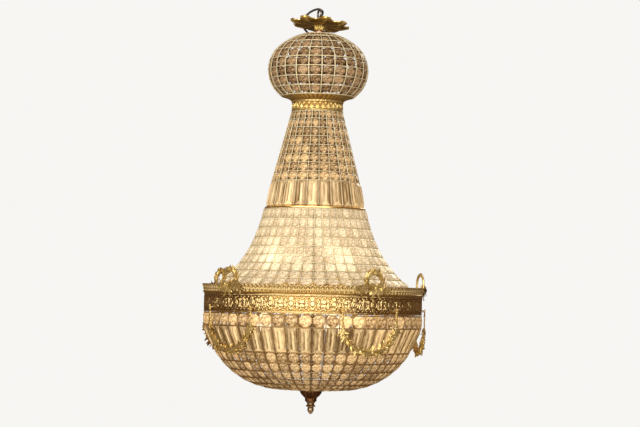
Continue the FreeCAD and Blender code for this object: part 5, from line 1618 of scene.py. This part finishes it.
def collar_warp(radius, height, angle, place, depth):
    """Presses the leaves into the band and gadroons into the cup."""
    on_cup = cup_foot + 2.5 * MM < height < neck_high.z - 0.5 * MM
    if on_cup and radius > NECK_RADIUS + 3 * MM and place < len(collar_outline) - 3:
        swell = abs(math.sin(GADROONS * angle / 2))
        return radius - 1.2 * MM * (1 - swell), height + 0.9 * MM * (1 - swell), depth * swell
    return press_leaves(radius, height, angle, place, depth)


collar_shape = lathe(collar_outline, COLLAR_STEPS, collar_warp, collar_relief)
show(collar_shape.mesh("leaf_collar", leaf_brass, 60.0), "neck_collar")

# %% [markdown]
# The canopy is one sheet, spun to a dish and then chased into eight leaves. The same outline
# is turned, and each point is moved by where it stands on its leaf: the rim is drawn in
# between leaves and curls up at their tips, a rib rises down each middle, and side veins run
# off it. Near the stem the sheet is fluted into a calyx.

# %% Canopy
CANOPY_RIM = 68.4 * MM
CANOPY_LEAVES = 8
CANOPY_LEAN = 4.6
CANOPY_NOD = 6.0
CANOPY_TURN = 12.0
canopy_bottom = Vector((0, 0, -38.5 * MM))
RIM_DRAW = 13.0 * MM
RIB_RISE = 2.4 * MM
VEIN_RISE = 1.3 * MM
TIP_CURL = 3.0 * MM
CALYX_END = 14.5 * MM
CALYX_FLUTES = 14
canopy_lower = [(6.3, 0.0), (9.0, 0.0), (10.4, 1.2), (11.3, 3.4), (12.0, 5.8), (12.9, 8.2)]
canopy_lower += [(14.0, 10.2), (15.4, 11.6), (17.0, 12.2), (19, 12.3), (22, 12.0), (25, 11.7)]
canopy_lower += [(28, 11.4), (31, 11.1), (34, 10.8), (37, 10.6), (40, 10.5), (43, 10.4), (46, 10.4)]
canopy_lower += [(49, 10.5), (52, 10.7), (55, 11.0), (58, 11.4), (60.5, 11.9), (63, 12.4)]
canopy_lower += [(65.6, 12.8), (67.4, 13.1), (68.4, 14.0)]
canopy_upper = [(67.6, 15.0), (66.2, 14.6), (63, 14.0), (58, 13.2), (52, 12.4), (46, 12.0)]
canopy_upper += [(40, 12.1), (34, 12.4), (28, 13.0), (22, 13.6), (17, 13.8), (13.4, 12.2)]
canopy_upper += [(11.0, 8.2), (9.3, 5.0), (6.3, 5.0)]
canopy_outline = in_mm(canopy_lower + canopy_upper)
CANOPY_STEPS = 400


def chase_leaf(radius, height, angle, place, depth):
    """Moves a point of the dish onto its leaf, or onto a flute of the calyx."""
    below = place < len(canopy_lower)
    if radius < CALYX_END:
        wave = abs(math.sin(CALYX_FLUTES * angle / 2))
        press = 1.5 * MM * (1 - wave) if below and radius > 9 * MM else 0.0
        return radius - press, height, 0.35 + 0.65 * wave
    out = min(1.0, (radius - CALYX_END) / (CANOPY_RIM - CALYX_END))
    along = math.cos(CANOPY_LEAVES * angle)
    edge = abs(math.sin(CANOPY_LEAVES * angle / 2))
    rib = max(0.0, along) ** 10
    veins = math.sin(radius / MM * 0.8 + edge * 9.0)
    drawn = RIM_DRAW * out**2.5 * edge**4
    frill = 1.5 * MM * out**4 * abs(math.sin(CANOPY_LEAVES * 2.5 * angle))
    lift = out**2 * TIP_CURL * (0.5 - edge**3) - out * RIB_RISE * rib * (1 if below else -0.4)
    lift += VEIN_RISE * veins * out * (1 - rib) * (1 - edge**6)
    lift += 2.0 * MM * out**8
    # Relief value: high on the rib, veins alternating high and low, low at the notches between leaves, and a
    # painted highlight along the rim.
    relief_and_rim_highlight = 0.25 + 0.6 * rib + 0.5 * veins * (1 - rib) + (0.9 if out > 0.94 else 0.0) - 0.5 * edge**6
    return radius - drawn - frill, height + lift, max(0.0, min(1.0, relief_and_rim_highlight))


canopy_shape = lathe(canopy_outline, CANOPY_STEPS, chase_leaf)
canopy_place = (
    Matrix.Translation(canopy_bottom)
    @ turned(CANOPY_LEAN, "Y")
    @ turned(-CANOPY_NOD, "X")
    @ turned(CANOPY_TURN, "Z")
)
canopy_brass = metal_finish(
    "canopy_brass", (1.0, 0.82, 0.33), (0.9, 0.64, 0.17), 0.32, (0.3, 0.17, 0.04), metal=0.8
)
leaf_canopy = canopy_shape.moved(canopy_place).mesh("leaf_canopy", canopy_brass, 60.0)
show(leaf_canopy, "canopy", "canopy_slider")

# %% [markdown]
# A wreath is a rod bent to a hoop, with laurel leaves set along it in whorls from both feet
# to the crown and berries between them. In front of its foot is a ribbon bow, with a spray of
# leaves to each side. On the real one all of this is cast in one piece and gilt.

# %% Wreaths
ORNAMENT_TURNS = (-47.5, 30.5, 98.0, 172.0, 241.0)
WREATH_RADIUS = 20.5 * MM
WREATH_LEG = 9.0 * MM
SIDE_TWIST = 10.0
WREATH_ROD = 3.6 * MM
FRONT_WREATH_SHIFT = 1.9
WREATH_PLACE = CORNICE_REACH - 5.5 * MM
BOW_PLACE = CORNICE_REACH + 3.8 * MM


def hoop_path(side):
    """From a foot up the leg and over to the crown."""
    path = [
        Vector((side * WREATH_RADIUS, -WREATH_PLACE, ring_top + WREATH_LEG * k / 3)) for k in range(3)
    ]
    for step in range(11):
        angle = math.pi / 2 * step / 10
        height = ring_top + WREATH_LEG + WREATH_RADIUS * math.sin(angle)
        path.append(Vector((side * WREATH_RADIUS * math.cos(angle), -WREATH_PLACE, height)))
    return path


laurel = leaf(11.0 * MM, 5.0 * MM, 1.2 * MM, curl=1.2 * MM)
laurel = laurel.moved(Matrix.Translation((0, -2.4 * MM, 0)) @ turned(14.0, "X"))
berry = bead(1.3 * MM, 6).moved(Matrix.Translation((0, -4.0 * MM, 0)))
spray_leaf = leaf(17.0 * MM, 8.0 * MM, 1.6 * MM, curl=1.6 * MM).moved(turned(38.0, "X"))
RIBBON_SECTION = ((-1, -1.0), (-1, 0.4), (0, 2.0), (1, 0.4), (1, -1.0), (0, -1.0))


def ribbon(points, width, thick):
    """A flat band through the points that faces -Y, its width square to its path."""
    facing = Vector((0, -1, 0))
    sections = []
    for number, point in enumerate(points):
        before = points[max(number - 1, 0)]
        after = points[min(number + 1, len(points) - 1)]
        along = (Vector(after) - Vector(before)).normalized()
        side = along.cross(facing).normalized() * (width / 2)
        out = facing * (thick / 2)
        sections.append([Vector(point) + side * wide + out * deep for wide, deep in RIBBON_SECTION])
    return Shape().skin(sections, relief=lambda number: [0.2, 0.6, 1.0, 0.6, 0.2, 0.1])


# Turn from upright and length in millimetres of each leaf behind the knot.
BOW_LEAVES = ((48, 17.0), (78, 24.0), (106, 25.0), (134, 22.0), (158, 18.0))


def bow():
    """Two loops, a knot and two tails, with five leaves on each side of the knot."""
    made = Shape()
    knot = Vector((0, -BOW_PLACE, ring_top - 4.0 * MM))
    for side in (-1, 1):
        loop = []
        for step in range(15):
            angle = math.radians(-150 + 300 * step / 14)
            across = side * (9.4 + 8.4 * math.cos(angle + math.pi)) * MM
            depth = -1.0 * MM * math.sin(angle / 2) ** 2
            loop.append(knot + Vector((across, depth, (6.2 * math.sin(angle) + 1.0) * MM)))
        made.add(ribbon(loop, 4.2 * MM, 1.0 * MM))
        tail = []
        for step in range(9):
            share = step / 8
            across = side * (1.5 + 10 * share + 1.6 * math.sin(share * 7)) * MM
            depth = (2.0 * share - 1.0 * math.sin(share * 6)) * MM
            tail.append(knot + Vector((across, depth, -24.0 * share * MM)))
        made.add(ribbon(tail, 4.4 * MM, 1.0 * MM))
        for fan, long in BOW_LEAVES:
            blade = leaf(long * MM, 8.0 * MM, 1.8 * MM, curl=-2.4 * MM)
            behind = Matrix.Translation(knot + Vector((0, 0.6 * MM, 0)))
            made.add(blade, behind @ turned(side * fan, "Y"))
    made.add(dome(3.6 * MM, 3.0 * MM), Matrix.Translation(knot + Vector((0, -0.8 * MM, 0))))
    return made


def flattened(plane, share):
    """Thins a casting about an upright plane in front of the axis."""
    return (
        Matrix.Translation((0, -plane, 0))
        @ Matrix.Diagonal((1.0, share, 1.0, 1.0))
        @ Matrix.Translation((0, plane, 0))
    )


# Each spray: how many leaves, and its path as turns in degrees and drops in millimetres.
SHORT_SPRAY = (22, ((0.6, 10.0), (2.6, 5.5), (4.6, 5.0), (6.4, 9.0)))
LONG_SPRAY = (40, ((0.4, 9.0), (3.2, 2.0), (5.6, 1.0), (8.0, 5.0), (9.2, 11.0)))
GOLDEN_TURN = 137.5
LAURELS = 46
LAUREL_TURN = 115.0
BERRIES = 16
BERRY_TURN = 137.0


def wreath_shape(seed, twisted=False, long_side=0):
    """A wreath at the front, as one mesh. One at the side stands a little askew, and those at
    the front have a longer spray on one side."""
    rod = tube(hoop_path(-1) + hoop_path(1)[::-1][1:], WREATH_ROD, 8, up=BACK)
    hoop = [rod.mesh("wreath_rod", leaf_brass)]
    parts = [bow().mesh("bow", leaf_brass)]
    sizes, loose = ((0.5, 0.64), 8.0) if twisted else ((1.0, 1.3), 14.0)
    for side in (-1, 1):
        path = hoop_path(side)
        hoop.append(along_path("laurels", laurel, path, LAURELS, LAUREL_TURN, loose, sizes, seed + side))
        hoop.append(along_path("berries", berry, path, BERRIES, BERRY_TURN, 10.0, sizes, seed + side))
        count, line = LONG_SPRAY if side == long_side else SHORT_SPRAY
        spray = [
            turned(side * turn, "Z") @ Vector((0, -BOW_PLACE, ring_top - drop * MM)) for turn, drop in line
        ]
        leaves = along_path("spray", spray_leaf, spray, count, GOLDEN_TURN, 30.0, (0.7, 1.05), seed + side)
        leaves.transform(flattened(BOW_PLACE, 0.42))
        parts.append(leaves)
    crown_at = Vector((0, -WREATH_PLACE, ring_top + WREATH_LEG + WREATH_RADIUS))
    crown = rosette(5, 4.0 * MM, 1.2 * MM).moved(Matrix.Translation(crown_at - 3.0 * MM * BACK))
    parts.append(crown.mesh("crown", leaf_brass))
    for part in hoop:
        part.transform(flattened(WREATH_PLACE, 0.65))
        if twisted:
            foot = Matrix.Translation((0, -WREATH_PLACE, 0))
            part.transform(foot @ turned(SIDE_TWIST, "Z") @ foot.inverted())
    return merged("wreath", leaf_brass, parts + hoop)


REACH_START = 250.0 * MM
REACH_END = 256.2 * MM


def turned_mesh(name, mesh, turn):
    """The mesh turned to its place; what stands out too far is pressed back, ever harder."""
    made = mesh.copy()
    made.name = name
    room = REACH_END - REACH_START
    for vertex in made.vertices:
        radius = math.hypot(vertex.co.x, vertex.co.y)
        if radius > REACH_START:
            pressed_to = REACH_END - room * math.exp((REACH_START - radius) / room)
            vertex.co.x *= pressed_to / radius
            vertex.co.y *= pressed_to / radius
    made.transform(turned(turn, "Z"))
    return made


SIDE_WREATH = 3
LONG_SIDES = {1: 1, 2: -1}
wreath_turns = list(ORNAMENT_TURNS)
wreath_turns[1] += FRONT_WREATH_SHIFT
for number, turn in enumerate(wreath_turns, 1):
    made = wreath_shape(number * 10, number == SIDE_WREATH, LONG_SIDES.get(number, 0))
    made = turned_mesh(f"laurel_wreath_{number}", made, turn)
    show(made, f"wreath_{number}")

# %% [markdown]
# A festoon hangs from two beaded stems. Its garland is a wire that sags in an arc, thick in
# the middle and thin at the ends, hidden under flowers, leaves and small fruit.

# %% Festoons
FESTOON_PLACE = BAND_FACE + 7.0 * MM
FESTOON_HALF_ANGLE = 15.7
FESTOON_STEM = 41.0 * MM
FESTOON_SAG = 50.5 * MM
GARLAND_RADIUS = 6.5 * MM
FLATNESS = 0.58
lug_height = ring_foot + 10.0 * MM
half_chord = FESTOON_PLACE * math.sin(math.radians(FESTOON_HALF_ANGLE))
garland_plane = FESTOON_PLACE * math.cos(math.radians(FESTOON_HALF_ANGLE))
stem_foot = lug_height - FESTOON_STEM
swag_radius = (half_chord**2 + FESTOON_SAG**2) / (2 * FESTOON_SAG)
swag_centre = stem_foot - FESTOON_SAG + swag_radius


def swag_path(count=25, end=1.0):
    """The arc in which the garland sags between its two stems."""
    reach = math.asin(half_chord / swag_radius) * end
    found = []
    for step in range(count):
        angle = -reach + 2 * reach * step / (count - 1)
        height = swag_centre - swag_radius * math.cos(angle)
        found.append(Vector((swag_radius * math.sin(angle), -garland_plane, height)))
    return found


garland_leaf = leaf(14.0 * MM, 8.0 * MM, 1.6 * MM, curl=1.8 * MM)
garland_leaf = garland_leaf.moved(Matrix.Translation((0, -3.0 * MM, 0)) @ turned(38.0, "X"))
stem_leaf = leaf(6.5 * MM, 3.6 * MM, 0.9 * MM, curl=0.8 * MM)
stem_leaf = stem_leaf.moved(Matrix.Translation((0, -1.6 * MM, 0)) @ turned(30.0, "X"))
daisy = rosette(6, 6.6 * MM, 1.3 * MM).moved(Matrix.Translation((0, -5.6 * MM, 0)))
fruit = bead(3.0 * MM).moved(Matrix.Translation((0, -5.8 * MM, 0)))


# Each kind of sprig: shape, number, turn to the next, looseness, sizes and shift of the seed.
ON_GARLAND = {
    "leaves": (garland_leaf, 104, GOLDEN_TURN, 24.0, (0.75, 1.1), 0),
    "daisies": (daisy, 34, 107.0, 18.0, (0.7, 1.1), 3),
    "fruit": (fruit, 52, 222.0, 12.0, (0.6, 1.1), 5),
}
ON_STEM = {
    "stem_beads": (bead(3.0 * MM), 9, 0.0, 0.0, (0.75, 1.05)),
    "stem_leaves": (stem_leaf, 18, GOLDEN_TURN, 16.0, (0.8, 1.1)),
}


def festoon_shape(seed):
    """A garland with its two stems and lugs at the front, as one mesh."""
    path = swag_path()
    shares = [k / (len(path) - 1) for k in range(len(path))]
    thick = [GARLAND_RADIUS * (0.4 + 0.5 * math.sin(math.pi * share)) for share in shares]
    core = tube(path, thick, 8, relief=0.5, up=BACK)
    for side in (-1, 1):
        foot = Vector((side * half_chord, -garland_plane, stem_foot))
        lug = Vector((side * half_chord, -garland_plane, lug_height))
        core.add(tube([foot, lug], 0.7 * MM, 6, up=BACK))
        inward = turned(side * FESTOON_HALF_ANGLE, "Z")
        core.add(rosette(8, 5.4 * MM, 1.6 * MM), Matrix.Translation(lug) @ inward)
        wall = inward @ Vector((0, -(BAND_FACE + 0.2 * MM), lug_height))
        core.add(tube([wall, lug], 2.2 * MM, 8, up=UP))
    swag = swag_path(41, 0.98)
    parts = [
        along_path(name, shape, swag, count, whorl, loose, sizes, seed + shift)
        for name, (shape, count, whorl, loose, sizes, shift) in ON_GARLAND.items()
    ]
    for side in (-1, 1):
        stem = [
            Vector((side * half_chord, -garland_plane, lug_height - 3 * MM)),
            Vector((side * half_chord, -garland_plane, stem_foot + 3 * MM)),
        ]
        for name, (shape, *rest) in ON_STEM.items():
            parts.append(along_path(name, shape, stem, *rest, seed))
        end = [stem[1], stem[1] - Vector((0, 0, 9 * MM))]
        parts.append(
            along_path("end_leaves", garland_leaf, end, 11, GOLDEN_TURN, 20.0, (0.8, 1.0), seed + side)
        )
    for part in parts:
        part.transform(flattened(garland_plane, FLATNESS))
    return merged("festoon", leaf_brass, parts + [core.mesh("festoon_core", leaf_brass)])


for number, turn in enumerate(ORNAMENT_TURNS, 1):
    made = turned_mesh(f"flower_festoon_{number}", festoon_shape(number * 10), turn)
    show(made, f"festoon_{number}")

# %% [markdown]
# Under the basket a fluted cup hides the plate's edge, and the finial screws up below it: a
# bell ring and a pale acorn.

# %% Cup and finial
cup_low, cup_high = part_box("bottom_cup")
cup_span = cup_high.z - cup_low.z
CUP_RADIUS = cup_high.x
CUP_SWELL = ((0.55, 0.34), (0.7, 0.48), (0.84, 0.63), (0.95, 0.8), (1.0, 0.93))
CUP_LINING = ((0.78, 0.72), (0.5, 0.42))
cup_outline = in_mm([(4.3, 0.0), (12.3, 0.0), (13.3, 1.2), (12.9, 2.6)], height=cup_low.z)
cup_outline += [(CUP_RADIUS * out, cup_low.z + cup_span * rise) for out, rise in CUP_SWELL]
cup_outline += [(CUP_RADIUS * 0.98, cup_high.z), (CUP_RADIUS * 0.88, cup_high.z)]
cup_outline += [(CUP_RADIUS * out, cup_low.z + cup_span * rise) for out, rise in CUP_LINING]
cup_outline += in_mm([(9.8, 0.0), (4.3, 0.0)], height=cup_low.z + cup_span * 0.2)


def flute(count, depth, first, last):
    """A warp that presses flutes into a stretch of the outline."""

    def warp(radius, height, angle, place, relief):
        if not first <= place <= last:
            return radius, height, relief
        wave = abs(math.sin(count * angle / 2))
        return radius - depth * (1 - wave), height, relief * (0.25 + 0.75 * wave)

    return warp


# The cup's colour is painted dark brown: painted shade under the basket.
cup_bronze = metal_finish("cup_bronze", (0.26, 0.12, 0.05), (0.12, 0.05, 0.02), 0.34, (0.05, 0.02, 0.01))
cup_shape = lathe(cup_outline, 160, flute(16, 1.5 * MM, 4, 8))
show(cup_shape.mesh("fluted_cup", cup_bronze), "bottom_cup", "cap")

finial_low, finial_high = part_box("finial")
finial_outline = [(4.1, 11.6), (0.0, 11.6), (0.0, 0.0), (1.6, 0.3), (4.0, 2.4), (6.3, 6.0), (7.5, 9.6)]
finial_outline += [(7.2, 12.4), (6.4, 14.0), (6.9, 16.0), (10.2, 16.8), (10.8, 18.0), (10.4, 19.2)]
finial_outline += [(8.6, 20.6), (8.1, 22.6), (8.2, 24.6), (10.2, 26.6), (10.8, 27.4)]
finial_outline = in_mm(finial_outline, height=finial_low.z)
finial_outline += in_mm([(10.8, 0.0), (4.1, 0.0)], height=finial_high.z)
finial_relief = [0.1, 1.0, 1.0, 1.0, 0.95, 0.8, 0.6, 0.4, 0.2, 0.25]
finial_relief += [0.4, 0.45, 0.4, 0.3, 0.2, 0.2, 0.3, 0.3, 0.2, 0.1]
finial_brass = metal_finish(
    "finial_brass", (0.98, 0.82, 0.66), (0.86, 0.66, 0.46), 0.3, (0.2, 0.12, 0.04)
)
finial_shape = lathe(finial_outline, 96, flute(10, 0.7 * MM, 4, 6), finial_relief)
show(finial_shape.mesh("acorn_finial", finial_brass), "finial", "knob")

# %% [markdown]
# The lamps sit on two tiers of arms. Their tubes, sockets and sleeves come from the frame as
# they are, because they stand inside the cage. The bulbs are turned again with more steps,
# so that their glow has a round edge.

# %% Bulbs
BULB_RADIUS = 17.5 * MM
BULB_HEIGHT = 62.0 * MM
BULB_FOOT = 3.5 * MM
BULB_SIDES = 20
UPPER_REACH = 90.0 * MM
LOWER_REACH = 110.0 * MM
ARM_DROP = (22.0 + 6.0 - 3.0) * MM
upper_socket = hub_low.z + 26.0 * MM + ARM_DROP
lower_socket = hub_low.z + 10.0 * MM - ARM_DROP


def bulb_outline():
    """A cap, a neck and a round end, from the socket outwards."""
    found = in_mm([(0.0, 0.0), (3.9, 0.0), (6.9, 3.0), (6.9, 20.0), (8.9, 23.0)])
    centre = BULB_HEIGHT - BULB_RADIUS
    for step in range(13):
        angle = math.radians(-41 + 131 * step / 12)
        found.append((BULB_RADIUS * math.cos(angle), centre + BULB_RADIUS * math.sin(angle)))
    found[-1] = (0.0, BULB_HEIGHT)
    return found


def standing_bulb(reach, level, way):
    """A bulb at the front of the axis, upright or, where way is -1, hanging."""
    sections = []
    for radius, height in bulb_outline():
        ring = circle(radius, BULB_SIDES) if radius > 1e-9 else [(0, 0)]
        sections.append([(x, y, height) for x, y in ring])
    upright = Matrix.Identity(4) if way > 0 else Matrix.Rotation(math.pi, 4, "X")
    return Shape().skin(sections).moved(Matrix.Translation((0, -reach, level + way * BULB_FOOT)) @ upright)


upper_bulb = standing_bulb(UPPER_REACH, upper_socket, 1)
lower_bulb = standing_bulb(LOWER_REACH, lower_socket, -1)
tiers = [
    carried_round("upper_bulbs", upper_bulb, UPPER_LAMPS, bulb_glass, LAMP_TURN),
    carried_round("lower_bulbs", lower_bulb, LOWER_LAMPS, bulb_glass, LAMP_TURN),
]
show(merged("bulbs", bulb_glass, tiers), "lamp_bulbs")

# %% [markdown]
# The eye is a closed steel ring, seen nearly edge-on, on a shank that turns in the stem head.

# %% Hanging eye
EYE_TURN = 24.0
eye_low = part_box("hanging_eye")[0]
EYE_OUTER = 11.0
EYE_HOLE = 7.0
half_outline = [(EYE_HOLE + 0.3, 1.8), (EYE_HOLE + 1.0, 2.2), (EYE_OUTER - 1.0, 2.2), (EYE_OUTER - 0.3, 1.8)]
eye_outline = [(EYE_HOLE, -1.2)] + [(out, -rise) for out, rise in half_outline] + [(EYE_OUTER, -1.2)]
eye_outline += [(EYE_OUTER, 1.2)] + half_outline[::-1] + [(EYE_HOLE, 1.2)]
eye_ring = lathe(in_mm(eye_outline), 72)
eye_place = turned(EYE_TURN, "Z") @ Matrix.Rotation(math.pi / 2, 4, "Y")
shank_top = -7.4 * MM
shank = tube([(0, 0, shank_top), (0, 0, eye_low.z)], 3.8 * MM, 24, up=BACK)
eye_shape = Shape().add(eye_ring, eye_place).add(shank)
show(eye_shape.mesh("steel_eye", steel), "hanging_eye", "eye")

# %% [markdown]
# The flex is 5 mm round and limp. It leaves the gland on the stem's head, goes over behind
# the canopy and hangs down at the back to a terminal block. It is a curve, so its length can
# be measured, and it is 0.37 metres long.

# %% Supply flex
FLEX_DIAMETER = 5.0 * MM
FLEX_POINTS = [
    (0.0, 14.04, -12.71),
    (0.0, 25.74, -7.06),
    (6.0, 36.0, 2.0),
    (8.0, 46.0, 13.0),
    (-2.0, 52.0, 20.0),
    (-18.0, 53.0, 14.5),
    (-32.0, 55.0, 3.0),
    (-40.0, 62.0, -11.0),
    (-35.0, 73.0, -24.0),
    (-22.0, 85.0, -36.0),
    (-10.0, 96.0, -52.0),
    (-5.0, 107.0, -75.0),
    (-4.0, 117.0, -100.0),
    (-4.0, 121.5, -129.0),
    (-5.0, 120.0, -160.0),
    (-6.0, 115.0, -192.0),
    (-8.0, 110.0, -223.0),
    (-10.0, 107.0, -252.0),
]
flex_curve = bpy.data.curves.new("flex", "CURVE")
flex_curve.dimensions = "3D"
flex_curve.bevel_depth = FLEX_DIAMETER / 2
flex_curve.bevel_resolution = 4
flex_curve.resolution_u = 12
flex_curve.use_fill_caps = True
flex_curve.materials.append(black_rubber)
flex_line = flex_curve.splines.new("NURBS")
flex_line.points.add(len(FLEX_POINTS) - 1)
for point, place in zip(flex_line.points, FLEX_POINTS):
    point.co = (*(Vector(place) * MM), 1.0)
flex_line.order_u = 3
flex_line.use_endpoint_u = True
flex_line.use_smooth = True
flex = bpy.data.objects.new("flex", flex_curve)
bpy.context.scene.collection.objects.link(flex)
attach(flex, "chandelier")
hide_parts("supply_flex")

# %% [markdown]
# What is left stays as the frame gives it: stem, plates, spiders, nuts, arms and sockets. They
# are seen only through the glass, and each gets the finish of its metal or plastic.

# %% Inner parts
INNER = {
    steel: ["eye_retainer", "stem_head", "canopy_screw", "ring_screws", "ornament_screws"],
    dull_steel: ["central_stem", "tie_rod", "stem_nuts", "neck_plates", "step_spider", "ring_core"],
    dark_brass: ["ball_top_cap", "ring_spider", "basket_plate"],
    bright_brass: ["skirt_top_ring", "lamp_hub", "lamp_arms"],
    copper: ["seat_collar"],
    cream_plastic: ["lamp_sockets", "candle_sleeves"],
    black_plastic: ["cable_gland"],
    black_rubber: ["stem_flex", "arm_wires"],
    white_plastic: ["terminal_block"],
}
for finish, names in INNER.items():
    for name in names:
        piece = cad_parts[name]
        piece.data.materials.clear()
        piece.data.materials.append(finish)
print("inner parts", sum(len(names) for names in INNER.values()))

# %% [markdown]
# The colours are shown plainly, as the photo's are.

# %% Finish
view = bpy.context.scene.view_settings
view.view_transform = "Standard"
